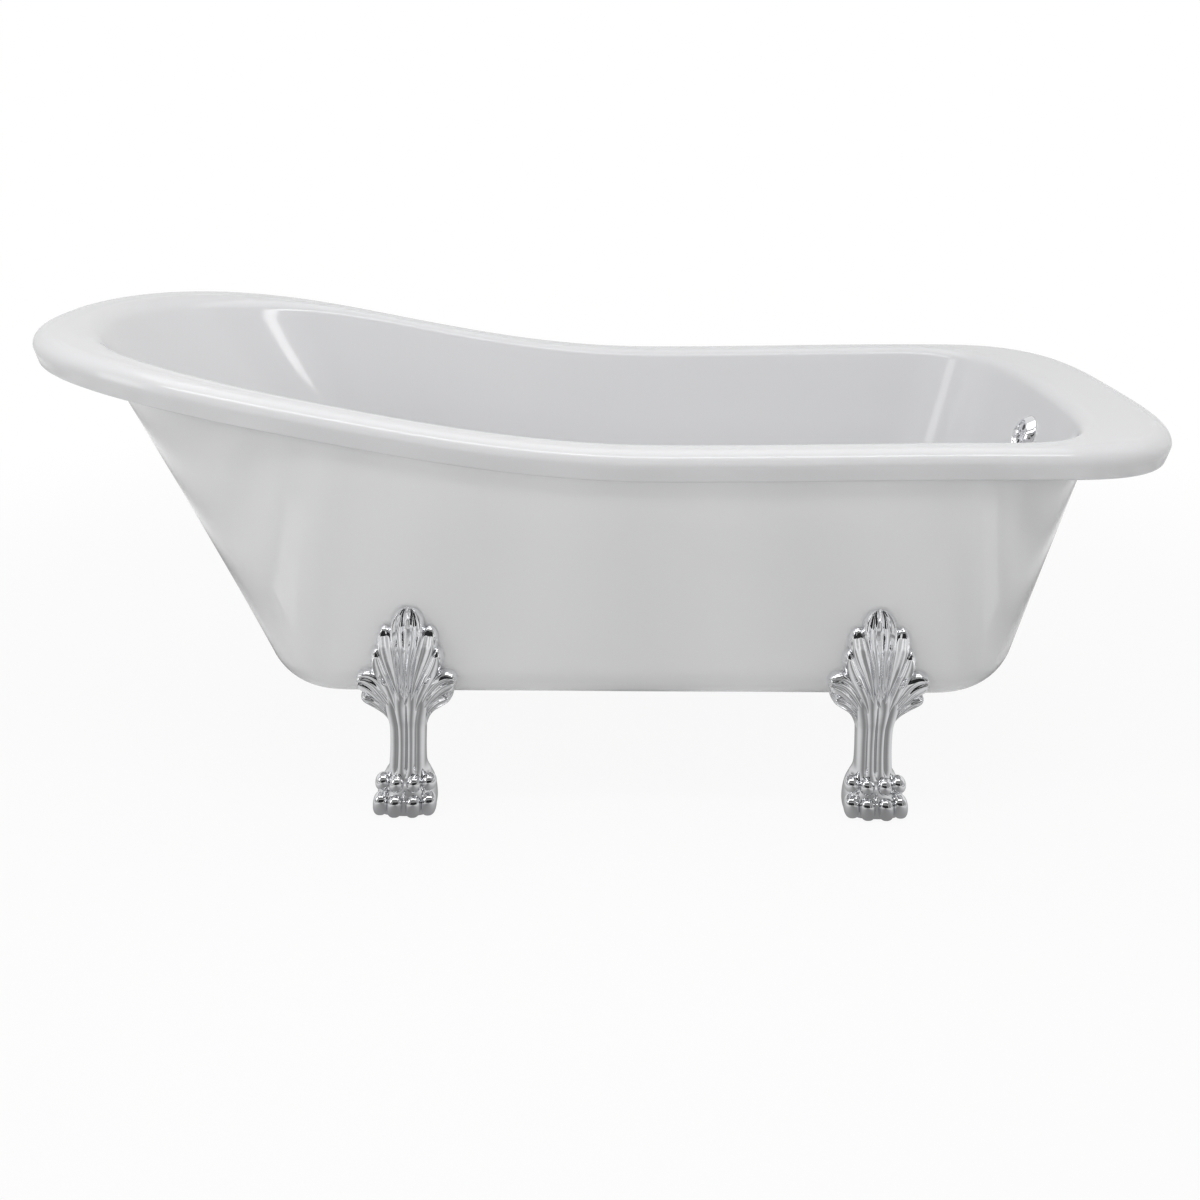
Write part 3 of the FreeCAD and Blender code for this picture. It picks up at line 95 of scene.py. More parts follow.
BOX_MARGIN = 0.00005
HALF_LENGTH = cad_high.x - BOX_MARGIN
HALF_WIDTH = 0.375
WALL = 0.005
HEAD_STEPS, SIDE_STEPS, TAP_STEPS = 14, 12, 11
COLUMNS_PER_STEP = 6
LIP_ROWS, LIP_EDGE_ROWS, ROLL_ROWS, KNEE_ROWS = 4, 6, 12, 12
DECK_SHARES = (0.34, 0.67, 1.0)
WALL_ROWS, CORNER_ROWS, FLOOR_ROWS = 26, 12, 8
LOW_RIM = 0.613
SLIPPER_RISE = 0.1235
SLIPPER_WAVE = 1.0
SLIPPER_FOOT = 0.1
DECK_RISE = 0.005
DECK_RISE_RUN = 0.5
LIP_DEPTH = 0.044
LIP_DRAFT = 0.004
ROLL_RUN, ROLL_DROP = 0.028, 0.022
INNER_ROLL_RUN, INNER_ROLL_HEAD_RUN, INNER_ROLL_DROP = 0.026, 0.054, 0.018
FLOOR_HEIGHT = 0.262
FLOOR_FALL = 0.006
FLOOR_CORNER = 0.085
BASIN_SPINE = (-0.20, 0.46)
WASTE_X = 0.530
WASTE_HOLE, OVERFLOW_HOLE, CUT_REACH = 0.0225, 0.026, 0.02
OVERFLOW_HEIGHT = 0.535
OUTWARD_STEP = 0.001
DECK_TRIM = 0.0006
HOLE_STEPS = 64
MERGE_DISTANCE, EMPTY_EDGE = 2e-6, 1e-7
SHARP_ANGLE = 40.0
ACRYLIC_IOR, ACRYLIC_COAT, COAT_ROUGHNESS = 1.49, 0.25, 0.03

# each outline: slipper end, tap end, half width, run and power of both rounded ends
RIM = (-HALF_LENGTH, HALF_LENGTH, HALF_WIDTH, 0.447, 2.32, 0.250, 3.25)
BASIN_EDGE = (-0.752, 0.724, 0.321, 0.385, 2.25, 0.170, 3.0)
DECK_EDGE = (
    BASIN_EDGE[0] - INNER_ROLL_HEAD_RUN,
    BASIN_EDGE[1] + INNER_ROLL_RUN,
    BASIN_EDGE[2] + INNER_ROLL_RUN - DECK_TRIM,
    BASIN_EDGE[3] + INNER_ROLL_RUN,
    BASIN_EDGE[4],
    BASIN_EDGE[5] + INNER_ROLL_RUN,
    BASIN_EDGE[6],
)
BASIN_FLOOR = (-0.440, 0.636, 0.250, 0.230, 2.2, 0.150, 2.8)


def outline(plan, inset=0.0):
    """Points (x, y) round a plan: quarter superellipses x = run (1 - cos^(2/p)), y = half sin^(2/p)
    at both ends, straight sides between, and the far side mirrored from the near one."""
    left, right, half, head_run, head_power, tap_run, tap_power = plan
    left, right, half = left + inset, right - inset, half - inset
    head_run, tap_run = head_run - inset, tap_run - inset
    count = HEAD_STEPS + SIDE_STEPS + TAP_STEPS
    step = np.arange(count * COLUMNS_PER_STEP + 1) / COLUMNS_PER_STEP
    head = 0.5 * math.pi * np.clip(step / HEAD_STEPS, 0.0, 1.0)
    tap = 0.5 * math.pi * np.clip((count - step) / TAP_STEPS, 0.0, 1.0)
    share = np.clip((step - HEAD_STEPS) / SIDE_STEPS, 0.0, 1.0)
    x_head = left + head_run * (1.0 - np.clip(np.cos(head), 0.0, 1.0) ** (2.0 / head_power))
    x_side = left + head_run + (right - tap_run - left - head_run) * share
    x_tap = right - tap_run + tap_run * np.clip(np.cos(tap), 0.0, 1.0) ** (2.0 / tap_power)
    x = np.where(step < HEAD_STEPS, x_head, np.where(step < HEAD_STEPS + SIDE_STEPS, x_side, x_tap))
    y = half * np.sin(head) ** (2.0 / head_power) * np.sin(tap) ** (2.0 / tap_power)
    near = np.stack([x, -y], axis=-1)
    return np.concatenate([near, near[-2:0:-1] * (1.0, -1.0)])


def crest(x):
    """Height of the rim's top: one cosine wave up to the slipper end, a slight rise to the deck."""
    wave = 0.5 * (1.0 - np.cos(math.pi * np.clip(SLIPPER_FOOT - x, 0.0, None) / SLIPPER_WAVE))
    deck = 0.5 * (1.0 - np.cos(math.pi * np.clip((x - SLIPPER_FOOT) / DECK_RISE_RUN, 0.0, 1.0)))
    return LOW_RIM + SLIPPER_RISE * wave + DECK_RISE * deck


def rim_ring(plan, inset, drop):
    """One ring of a plan, at a given drop below the crest."""
    flat = outline(plan, inset)
    return np.column_stack([flat, crest(flat[:, 0]) - drop])


def wall_rings(top, top_drop, foot, foot_height, corner, offset, corner_rows):
    """Straight columns from the top outline to the foot outline, rounded by an arc of the corner's
    radius where they meet the floor; the offset moves the face outwards about the same centres."""
    high, low = outline(top), outline(foot)
    out = outline(foot, -OUTWARD_STEP) - low
    length = np.linalg.norm(out, axis=1)
    rise = crest(high[:, 0]) - top_drop - foot_height
    slope = np.arctan2(np.sum((high - low) * out, axis=1) / length, rise)
    normal = out / length[:, None]
    tangent = corner / np.tan((0.5 * math.pi + slope) / 2.0)
    edge_out = outline(top, -OUTWARD_STEP) - high
    edge_out /= np.linalg.norm(edge_out, axis=1)[:, None]
    edge = high + edge_out * (offset * np.cos(slope))[:, None]
    top_ring = np.column_stack([edge, crest(high[:, 0]) - top_drop - offset * np.sin(slope)])
    arc = []
    for step in range(corner_rows + 1):
        turn = slope + (0.5 * math.pi - slope) * step / corner_rows
        reach = corner + offset
        flat = low - normal * (tangent - reach * np.cos(turn))[:, None]
        arc.append(np.column_stack([flat, foot_height + corner - reach * np.sin(turn)]))
    return [top_ring + (arc[0] - top_ring) * step / WALL_ROWS for step in range(WALL_ROWS)] + arc


def to_spine(ring, spine):
    """Rings that close a flat floor: every point moves straight to a line along the middle."""
    target = np.column_stack([np.clip(ring[:, 0], *spine), 0.0 * ring[:, 1], ring[:, 2]])
    return [ring + (target - ring) * step / FLOOR_ROWS for step in range(1, FLOOR_ROWS + 1)]


def basin_face(offset):
    """Rings of one face of the moulding, from the lip's edge over the rim down to the floor: a
    straight lip, a quarter ellipse, the deck, the parabola b^2 d + 2ab k + a^2 w into the wall, a
    share, b = 1 - a, and the wall. The floor falls towards the waste."""
    lip_low = LIP_DEPTH - WALL / 2.0
    rings = []
    for share in np.linspace(0.0, 1.0, LIP_ROWS + 1):
        drop = lip_low + (ROLL_DROP - lip_low) * share
        rings.append(rim_ring(RIM, LIP_DRAFT * (1.0 - share) + offset, drop))
    for turn in np.linspace(0.0, 0.5 * math.pi, ROLL_ROWS + 1)[1:]:
        inset = ROLL_RUN - (ROLL_RUN - offset) * math.cos(turn)
        drop = ROLL_DROP - (ROLL_DROP - offset) * math.sin(turn)
        rings.append(rim_ring(RIM, inset, drop))
    deck = rim_ring(DECK_EDGE, 0.0, offset)
    outer = rings[-1]
    rings += [outer + (deck - outer) * share for share in DECK_SHARES]
    wall = wall_rings(
        BASIN_EDGE, INNER_ROLL_DROP, BASIN_FLOOR, FLOOR_HEIGHT, FLOOR_CORNER, offset, CORNER_ROWS
    )
    line = wall[0] - wall[1]
    knee = wall[0] + line * ((deck[:, 2] - wall[0][:, 2]) / line[:, 2])[:, None]
    for share in np.linspace(0.0, 1.0, KNEE_ROWS + 1)[1:-1]:
        far, middle = (1.0 - share) ** 2, 2.0 * share * (1.0 - share)
        rings.append(deck * far + knee * middle + wall[0] * share**2)
    below = wall + to_spine(wall[-1], BASIN_SPINE)
    for ring in below:
        depth = np.clip((ring[:, 2] - FLOOR_HEIGHT) / (LOW_RIM - FLOOR_HEIGHT), 0.0, 1.0)
        ring[:, 2] += FLOOR_FALL * (WASTE_X - ring[:, 0]) * (1.0 - depth)
    return rings + below


def closed_grid(rings, shut_ends=False):
    """Points and faces of rings of equal length, closed round and joined ring to ring: the corners
    of a face are (i, j), (i, j+1), (i+1, j+1), (i+1, j). Open ends can be shut by a middle point."""
    grid = np.array(rings)
    if shut_ends:
        middle = np.repeat(grid[[0, -1]].mean(axis=1, keepdims=True), grid.shape[1], axis=1)
        grid = np.concatenate([middle[:1], grid, middle[1:]])
    rows, columns = grid.shape[:2]
    index = np.arange(rows * columns).reshape(rows, columns)
    following = np.roll(index, -1, axis=1)
    faces = np.stack([index[:-1], following[:-1], following[1:], index[1:]], axis=-1).reshape(-1, 4)
    return grid.reshape(-1, 3), faces


def piece(name, shells, sharp_angle=SHARP_ANGLE):
    """One object from several closed shells of points and faces, smooth but for its real edges."""
    points, faces, start = [], [], 0
    for shell_points, shell_faces in shells:
        points.append(shell_points)
        faces.append(shell_faces + start)
        start += len(shell_points)
    mesh = bpy.data.meshes.new(name)
    mesh.from_pydata(np.concatenate(points), [], np.concatenate(faces).tolist())
    made = bpy.data.objects.new(name, mesh)
    bpy.context.scene.collection.objects.link(made)
    tidy_mesh(made, sharp_angle)
    return made


def tidy_mesh(made, sharp_angle):
    """Merge doubles at seams and poles, drop empty faces and turn every face outwards."""
    work = bmesh.new()
    work.from_mesh(made.data)
    bmesh.ops.remove_doubles(work, verts=work.verts, dist=MERGE_DISTANCE)
    bmesh.ops.dissolve_degenerate(work, edges=work.edges, dist=EMPTY_EDGE)
    bmesh.ops.recalc_face_normals(work, faces=work.faces)
    work.to_mesh(made.data)
    work.free()
    made.data.shade_smooth()
    made.data.set_sharp_from_angle(angle=math.radians(sharp_angle))


def cut_holes(made, cutters, sharp_angle=SHARP_ANGLE):
    """Cut round holes, each a centre, an axis, a radius and a half length, and keep the result."""
    for number, (centre, axis, radius, reach) in enumerate(cutters):
        turn = np.linspace(0.0, 2.0 * math.pi, HOLE_STEPS, endpoint=False)
        axis = np.array(axis) / np.linalg.norm(axis)
        side = np.cross(axis, (0.0, 1.0, 0.0))
        side /= np.linalg.norm(side)
        other = np.cross(axis, side)
        round_ = radius * (np.cos(turn)[:, None] * side + np.sin(turn)[:, None] * other)
        ends = [np.array(centre) + round_ + axis * shift for shift in (-reach, reach)]
        cutter = piece("cutter_%d" % number, [closed_grid(ends, True)])
        change = made.modifiers.new("hole", "BOOLEAN")
        change.operation = "DIFFERENCE"
        change.object = cutter
        whole = made.evaluated_get(bpy.context.evaluated_depsgraph_get())
        result = bpy.data.meshes.new_from_object(whole)
        made.modifiers.clear()
        made.data = result
        bpy.data.objects.remove(cutter)
    made.data.shade_smooth()
    made.data.set_sharp_from_angle(angle=math.radians(sharp_angle))


class Signal:
    """A shader socket that takes part in plain arithmetic."""

    def __init__(self, finish, socket):
        self.finish, self.socket = finish, socket

    def __add__(self, other):
        return self.finish.node("ShaderNodeMath", {"operation": "ADD"}, self, other)

    def __mul__(self, other):
        return self.finish.node("ShaderNodeMath", {"operation": "MULTIPLY"}, self, other)


class Finish:
    """A material under construction round its Principled shader."""

    def __init__(self, name, **plain):
        self.material = bpy.data.materials.new(name)
        self.material.use_nodes = True
        self.tree = self.material.node_tree
        self.shader = self.tree.nodes["Principled BSDF"]
        for socket, amount in plain.items():
            self.shader.inputs[socket.replace("_", " ")].default_value = amount

    def node(self, kind, settings=None, *values, output=0, **named):
        """Any node: its settings first, then values or links by order or by socket name."""
        made = self.tree.nodes.new(kind)
        for key, setting in (settings or {}).items():
            if key == "stops":
                elements = made.color_ramp.elements
                for spot, (place, tone) in enumerate(setting):
                    stop = elements[spot] if spot < 2 else elements.new(place)
                    stop.position, stop.color = place, (*tone, 1.0)
            else:
                setattr(made, key, setting)
        entries = list(enumerate(values))
        entries += [(key.replace("_", " "), amount) for key, amount in named.items()]
        for key, amount in entries:
            if isinstance(amount, Signal):
                self.tree.links.new(amount.socket, made.inputs[key])
            else:
                made.inputs[key].default_value = amount
        return Signal(self, made.outputs[output])

    def place(self):
        """The piece's own coordinates, in metres."""
        return self.node("ShaderNodeTexCoord", output="Object")

    def noise(self, scale, detail=2.0, rough=0.5, place=None):
        """Cloudy noise from 0 to 1 on the piece's own coordinates, scale in clouds a metre."""
        vector = place or self.place()
        return self.node(
            "ShaderNodeTexNoise", None, Vector=vector, Scale=scale, Detail=detail, Roughness=rough
        )

    def feed(self, socket, signal):
        """Link a signal to one of the shader's sockets."""
        self.tree.links.new(signal.socket, self.shader.inputs[socket])

    def blend(self, factor, first, second):
        """A colour that goes from the first to the second with the factor."""
        return self.node(
            "ShaderNodeValToRGB", {"stops": [(0.0, first), (1.0, second)]}, Fac=factor
        )

    def bump(self, height, distance, strength):
        """Fine relief from a height signal, its distance in metres."""
        made = self.node("ShaderNodeBump", None, Strength=strength, Distance=distance, Height=height)
        self.feed("Normal", made)


def white_acrylic(name, bright, dull, gloss):
    """Glossy cast acrylic: faint cloudy tone, faint waviness of the gloss, hardly any relief."""
    finish = Finish(
        name, Roughness=gloss, IOR=ACRYLIC_IOR, Coat_Weight=ACRYLIC_COAT, Coat_Roughness=COAT_ROUGHNESS
    )
    cloud = finish.noise(3.5, 3.0)
    finish.feed("Base Color", finish.blend(cloud, dull, bright))
    finish.feed("Roughness", finish.noise(22.0, 3.0) * 0.05 + (gloss - 0.02))
    finish.bump(finish.noise(9.0, 1.0), 0.0006, 0.35)
    return finish.material


overflow_slope = math.atan2(
    BASIN_EDGE[1] - BASIN_FLOOR[1],
    float(crest(BASIN_EDGE[1])) - INNER_ROLL_DROP - FLOOR_HEIGHT,
)
overflow_place = np.array(
    [BASIN_FLOOR[1] + (OVERFLOW_HEIGHT - FLOOR_HEIGHT) * math.tan(overflow_slope), 0, OVERFLOW_HEIGHT]
)
overflow_axis = np.array([-math.cos(overflow_slope), 0.0, math.sin(overflow_slope)])

front, back = basin_face(0.0), basin_face(WALL)
edge_middle = 0.5 * (front[0] + back[0])
lip_edge = []
for turn in np.linspace(0.0, math.pi, LIP_EDGE_ROWS + 1)[1:-1]:
    swing = edge_middle + (front[0] - edge_middle) * math.cos(turn)
    swing[:, 2] -= WALL / 2.0 * math.sin(turn)
    lip_edge.append(swing)
basin = piece("bath_basin", [closed_grid(front[::-1] + lip_edge + back)])
cut_holes(
    basin,
    [
        (overflow_place, overflow_axis, OVERFLOW_HOLE, CUT_REACH),
        ((WASTE_X, 0.0, FLOOR_HEIGHT), (0.0, 0.0, 1.0), WASTE_HOLE, CUT_REACH),
    ],
)
basin.data.materials.clear()
# the basin's white is set darker than the skin's, though both are the same acrylic: painted shade that dims
# its deck and its inside
basin.data.materials.append(
    white_acrylic("basin_acrylic", (0.755, 0.755, 0.765), (0.74, 0.742, 0.754), 0.11)
)
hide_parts("bath_shell")
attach(basin, "bath")

# ---------------------------------------------------------------------------
# Outer skin
# A second white acrylic shell round the basin, its top edge tucked behind the lip, with a flat
# bottom on rounded corners and a round opening under the waste.
# ---------------------------------------------------------------------------

SKIN_TOP = (-0.752, 0.7594, 0.3636, 0.430, 2.3, 0.258, 2.5)
SKIN_BOTTOM = (-0.511, 0.670, 0.3245, 0.145, 2.5, 0.163, 2.5)
SKIN_WALL = 0.004
SKIN_TOP_DROP = 0.034
SKIN_LOW = 0.206
SKIN_CORNER, SKIN_CORNER_ROWS = 0.072, 14
SKIN_SPINE = (-0.36, 0.50)
ACCESS_RADIUS = 0.065


def skin_face(offset):
    """Rings of one face of the skin, from its top edge to the middle line of its bottom."""
    rings = wall_rings(
        SKIN_TOP, SKIN_TOP_DROP, SKIN_BOTTOM, SKIN_LOW, SKIN_CORNER, offset, SKIN_CORNER_ROWS
    )
    return rings + to_spine(rings[-1], SKIN_SPINE)


skin = piece("bath_skin", [closed_grid(skin_face(0.0)[::-1] + skin_face(-SKIN_WALL))])
cut_holes(skin, [((WASTE_X, 0.0, SKIN_LOW), (0.0, 0.0, 1.0), ACCESS_RADIUS, CUT_REACH)])
skin.data.materials.clear()
skin.data.materials.append(
    white_acrylic("skin_acrylic", (0.82, 0.82, 0.825), (0.80, 0.802, 0.81), 0.08)
)
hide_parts("outer_skin")
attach(skin, "bath")

# ---------------------------------------------------------------------------
# Claw feet
# Four chromed castings, each a lion's paw with a reeded shaft that opens into an acanthus leaf on
# the side of the bath, and a flat bracket that is bolted up under the skin.
# ---------------------------------------------------------------------------

FOOT_X = {"head": -0.296, "tap": 0.449}
FOOT_Y = 0.2845
FOOT_LEAN = 0.035
FOOT_TOP = 0.375
FOOT_SHARP = 50.0
RING_POINTS, SHAFT_ROWS = 192, 110

# height, outward centre, half width and half depth of the paw and the shaft, in mm
SHAFT = [
    (0.0, -8.0, 44.0, 34.0),
    (3.0, -8.0, 47.0, 37.0),
    (16.0, -8.0, 48.0, 38.0),
    (34.0, -8.0, 46.0, 37.0),
    (50.0, -8.0, 42.0, 34.0),
    (64.0, -7.0, 36.0, 30.0),
    (78.0, -4.0, 31.5, 27.0),
    (100.0, -1.0, 30.0, 25.0),
    (130.0, 3.0, 29.5, 25.0),
    (160.0, 9.0, 30.0, 27.0),
    (180.0, 15.0, 33.0, 29.0),
    (200.0, 20.0, 38.0, 31.0),
    (222.0, 26.0, 42.0, 31.0),
    (245.0, 31.0, 44.0, 26.0),
    (262.0, 36.0, 38.0, 18.0),
]
# radius and height of the rings round the leveller's recess in the sole, in mm
RECESS = [(8.3, 14.0), (17.0, 14.0), (17.0, 0.0)]
# the reeds: height where they start and end, and the run in which they fade, in mm
REED_LOW, REED_LOW_FADE = 66.0, 16.0
REED_HIGH, REED_HIGH_FADE = 236.0, 30.0
REEDS_A_SIDE, REED_DEPTH, REED_POWER = 1.85, 5.0, 0.85
# radius of the lobes' rims, and how far their backs stand off the skin, in mm
RIM_ROUND, LEAF_BEHIND = 6.5, 0.4
TONGUE_ROWS, TONGUE_COLUMNS = 110, 97
LOBE_ROWS, LOBE_COLUMNS = 64, 41
BEAD_ROWS, BEAD_COLUMNS = 17, 32
# the eye: its middle, tilt, half length, half width, wire radius and bead, in mm
EYE_ACROSS, EYE_HEIGHT, EYE_TILT = 33.0, 259.0, math.radians(52.0)
EYE_LENGTH, EYE_WIDTH, EYE_WIRE, EYE_SINK = 8.2, 3.4, 1.0, 4.6
EYE_STEPS, WIRE_STEPS = 40, 8
EYE_BEAD = (66.4, (2.4, 2.2, 3.6))
# the bracket under the skin: its corners, and the outward and upward corners of its rib, in mm
BEVEL = 1.2
BRACKET = ((-42.0, -96.0, 194.0), (42.0, 20.0, 205.8))
BRACKET_RIB = [(-80.0, 194.0), (20.0, 194.0), (20.0, 110.0), (-8.0, 110.0)]
RIB_HALF = 6.0
# front of the leaf and face of the skin behind it: height and outward reach, in mm
LEAF_FRONT = [(150, 34), (170, 41), (186, 49), (200, 57), (218, 65), (235, 70), (252, 73), (268, 74.5),
              (312, 74), (345, 72), (376, 68)]
SKIN_FACE = [(150, 10), (206, 10), (218, 14), (232, 28), (252, 41), (275, 46), (312, 51), (376, 57.8)]


def curve_through(stations, count):
    """A smooth run of values through stations: each coordinate is a Catmull-Rom spline, which at a
    share s between stations b and c is half of 2b + (c-a)s + (2a-5b+4c-d)s^2 + (3b-a-3c+d)s^3."""
    known = np.array(stations, float)
    padded = np.concatenate([2 * known[:1] - known[1:2], known, 2 * known[-1:] - known[-2:-1]])
    spot = np.linspace(0.0, len(known) - 1.0, count)
    cell = np.minimum(spot.astype(int), len(known) - 2)
    s = (spot - cell)[:, None]
    a, b, c, d = (padded[cell + shift] for shift in range(4))
    return 0.5 * (2 * b + (c - a) * s + (2 * a - 5 * b + 4 * c - d) * s**2 + (3 * b - a - 3 * c + d) * s**3)


def super_ring(half_x, half_y, power=2.6):
    """A superellipse about zero: x = a cos^(2/p), y = b sin^(2/p)."""
    turn = np.linspace(0.0, 2.0 * math.pi, RING_POINTS, endpoint=False)
    x = np.sign(np.cos(turn)) * np.abs(np.cos(turn)) ** (2.0 / power) * half_x
    y = np.sign(np.sin(turn)) * np.abs(np.sin(turn)) ** (2.0 / power) * half_y
    return x, y


def reeded_shaft():
    """Superellipse sections up the leg; between paw and leaf the radius swells in rounded reeds,
    by |sin(pi * reeds * x / half width)|. The sole turns in to the leveller's recess."""
    rings = []
    turn = np.linspace(0.0, 2.0 * math.pi, RING_POINTS, endpoint=False)
    for radius, height in RECESS:
        rings.append(np.column_stack([radius * np.cos(turn), radius * np.sin(turn), 0 * turn + height]))
    for height, out, half_x, half_y in curve_through(SHAFT, SHAFT_ROWS):
        fade = np.clip((height - REED_LOW) / REED_LOW_FADE, 0.0, 1.0)
        fade *= np.clip((REED_HIGH - height) / REED_HIGH_FADE, 0.0, 1.0)
        x, y = super_ring(half_x, half_y)
        reed = np.abs(np.sin(math.pi * REEDS_A_SIDE * x / half_x))
        swell = fade * REED_DEPTH * (reed**REED_POWER - 1.0)
        scale = 1.0 + swell / np.hypot(x, y)
        rings.append(np.column_stack([x * scale, out + y * scale, 0 * x + height]))
    return closed_grid(rings, True)


def petal(path, crown, sink, relief=None, count=LOBE_ROWS, across=LOBE_COLUMNS):
    """One lobe of the leaf: stations of (across, height, half width) carry a section whose rim is a
    quarter round, (1 - (1 - d / R)^2)^(1/2), d from the edge, and whose crown swells by 1 - s^2."""
    line = curve_through(path, count)
    centre, half = line[:, :2], np.clip(line[:, 2], 0.02, None)
    ahead = np.gradient(centre, axis=0)
    step = np.linalg.norm(ahead, axis=1)
    ahead /= step[:, None]
    side = np.column_stack([ahead[:, 1], -ahead[:, 0]])
    s = np.sin(np.linspace(-0.5 * math.pi, 0.5 * math.pi, across))
    flat = centre[:, None, :] + side[:, None, :] * (half[:, None] * s)[..., None]
    height = flat[..., 1]
    back = np.interp(height, *zip(*SKIN_FACE)) + LEAF_BEHIND
    front = np.interp(height, *zip(*LEAF_FRONT)) - sink
    to_tip = np.cumsum(step[::-1])[::-1] - step[-1]
    inward = np.minimum(half[:, None] * (1.0 - np.abs(s)), to_tip[:, None])
    edge = np.sqrt(1.0 - (1.0 - np.clip(inward / RIM_ROUND, 0.0, 1.0)) ** 2)
    swell = crown * np.clip(half / (half.max() * 0.8), 0.0, 1.0)[:, None] ** 0.7 * (1.0 - s**2)[None, :]
    share = np.linspace(0.0, 1.0, count)[:, None]
    if relief is not None:
        swell = swell + relief(s[None, :], share)
    out = back + (front - crown - back + swell) * edge
    top = np.stack([flat[..., 0], out, height], axis=-1)
    bottom = np.stack([flat[..., 0], back, height], axis=-1)[:, ::-1]
    return closed_grid(np.concatenate([top, bottom[:, 1:-1]], axis=1), True)


def tongue_relief(s, share):
    """Middle rib, a flute on either side of it and a raised edge: a exp(-((|s| - c) / w)^2) each."""
    fade = np.clip(share / 0.3, 0.0, 1.0) * np.clip((1.0 - share) / 0.08, 0.0, 1.0)
    rib = 0.8 * np.exp(-((s / 0.09) ** 2))
    flute = -7.0 * np.exp(-(((np.abs(s) - 0.40) / 0.24) ** 2))
    rim = 1.2 * np.exp(-(((np.abs(s) - 0.82) / 0.12) ** 2))
    return fade * (rib + flute + rim)


def leaf_relief(s, share):
    """A shallow hollow along the lobe, -a exp(-(s / w)^2)."""
    return -2.2 * np.clip(share / 0.35, 0.0, 1.0) * np.exp(-((s / 0.45) ** 2))


def fan_relief(s, share):
    """Two soft folds along the fan, -a exp(-((s - c) / w)^2) each."""
    fold = 3.4 * np.exp(-(((s + 0.12) / 0.13) ** 2)) + 2.0 * np.exp(-(((s - 0.45) / 0.12) ** 2))
    return -fold * np.clip(share / 0.3, 0.0, 1.0) * np.clip((1.0 - share) / 0.25, 0.0, 1.0)


def curl_relief(s, share):
    """A fold on either side of the low fan's middle, -a exp(-((|s| - c) / w)^2)."""
    fold = 3.0 * np.exp(-(((np.abs(s) - 0.35) / 0.14) ** 2))
    return -fold * np.clip(share / 0.3, 0.0, 1.0) * np.clip((1.0 - share) / 0.2, 0.0, 1.0)


def blob(centre, half, flat_power=2.0):
    """A superellipsoid bead, x = a (cos v cos u)^(2/p) and so on: a power above 2 squares it off."""
    turn = np.linspace(0.0, 2.0 * math.pi, BEAD_COLUMNS, endpoint=False)
    rings = []
    for lift in np.linspace(-0.5 * math.pi, 0.5 * math.pi, BEAD_ROWS + 2)[1:-1]:
        level = np.sign(np.sin(lift)) * np.abs(np.sin(lift)) ** (2.0 / flat_power)
        width = np.cos(lift) ** (2.0 / flat_power)
        x = centre[0] + half[0] * width * np.sign(np.cos(turn)) * np.abs(np.cos(turn)) ** (2 / flat_power)
        y = centre[1] + half[1] * width * np.sign(np.sin(turn)) * np.abs(np.sin(turn)) ** (2 / flat_power)
        rings.append(np.column_stack([x, y, 0 * x + centre[2] + half[2] * level]))
    return closed_grid(rings, True)


def teardrop(side):
    """The eye of the leaf: a wire ring whose middle line is (l cos u, w sin u sin(u / 2)^1.2), tilted."""
    turn = np.linspace(0.0, 2.0 * math.pi, EYE_STEPS, endpoint=False)
    along = EYE_LENGTH * np.cos(turn)
    over = EYE_WIDTH * np.sin(turn) * np.sin(0.5 * turn) ** 1.2
    across = along * math.cos(EYE_TILT) - over * math.sin(EYE_TILT)
    up = along * math.sin(EYE_TILT) + over * math.cos(EYE_TILT)
    out = np.interp(EYE_HEIGHT + up, *zip(*LEAF_FRONT)) - EYE_SINK
    rings = []
    for spin in np.linspace(0.0, 2.0 * math.pi, WIRE_STEPS + 1):
        grow = 1.0 + EYE_WIRE / EYE_WIDTH * math.cos(spin)
        x = side * (EYE_ACROSS + across * grow)
        rings.append(np.column_stack([x, out + EYE_WIRE * math.sin(spin), EYE_HEIGHT + up * grow]))
    return closed_grid(rings)


def slab(low, high, power=9.0):
    """A flat cast block with rounded upright corners and a small bevel at its top and bottom."""
    centre = [(a + b) / 2.0 for a, b in zip(low, high)]
    half = [(b - a) / 2.0 for a, b in zip(low, high)]
    rings = []
    upright = half[2] - BEVEL
    for shrink, lift in ((BEVEL, -half[2]), (0.0, -upright), (0.0, upright), (BEVEL, half[2])):
        x, y = super_ring(half[0] - shrink, half[1] - shrink, power)
        rings.append(np.column_stack([centre[0] + x, centre[1] + y, 0 * x + centre[2] + lift]))
    return closed_grid(rings, True)


# stations of the leaf's lobes, the side ones on one side only: across, height, half width, in mm
TONGUE = [
    (0, 201, 0.3), (0, 212, 3.2), (0, 221, 6), (0, 243, 10.8), (0, 263, 12.6), (0, 286, 14.8),
    (0, 304, 19.6), (0, 320, 23.4), (0, 334, 26), (0, 343, 25.8), (0, 357, 22.2), (0, 367, 16.2),
    (0, 372, 10.2), (0, 374.6, 0.5),
]
SECOND = [
    (5.2, 160, 4), (5.6, 186, 4.6), (7.6, 212, 5), (12.6, 243, 7.5), (18.5, 268, 10.5),
    (25, 292, 14.4), (29, 310, 16), (31, 325, 14.6), (32, 335, 11.2), (32.6, 341, 6.6),
    (32.8, 344.4, 0.5),
]
THIRD = [
    (14.2, 158, 4.6), (14.4, 184, 5.6), (15.6, 202, 6.4), (18.4, 217, 8), (24, 237, 10.6),
    (33, 261, 12.4), (39.5, 278, 13), (43, 290, 12), (44.4, 300, 9), (44.8, 307, 4.6),
    (45, 310, 0.5),
]
FAN_HIGH = [
    (19, 158, 4.5), (20.5, 184, 7), (27, 206, 11), (38, 228, 16.5), (50, 244, 20.5),
    (60, 251, 20.5), (68, 253.5, 16), (73.4, 254, 9), (75.8, 254, 0.5),
]
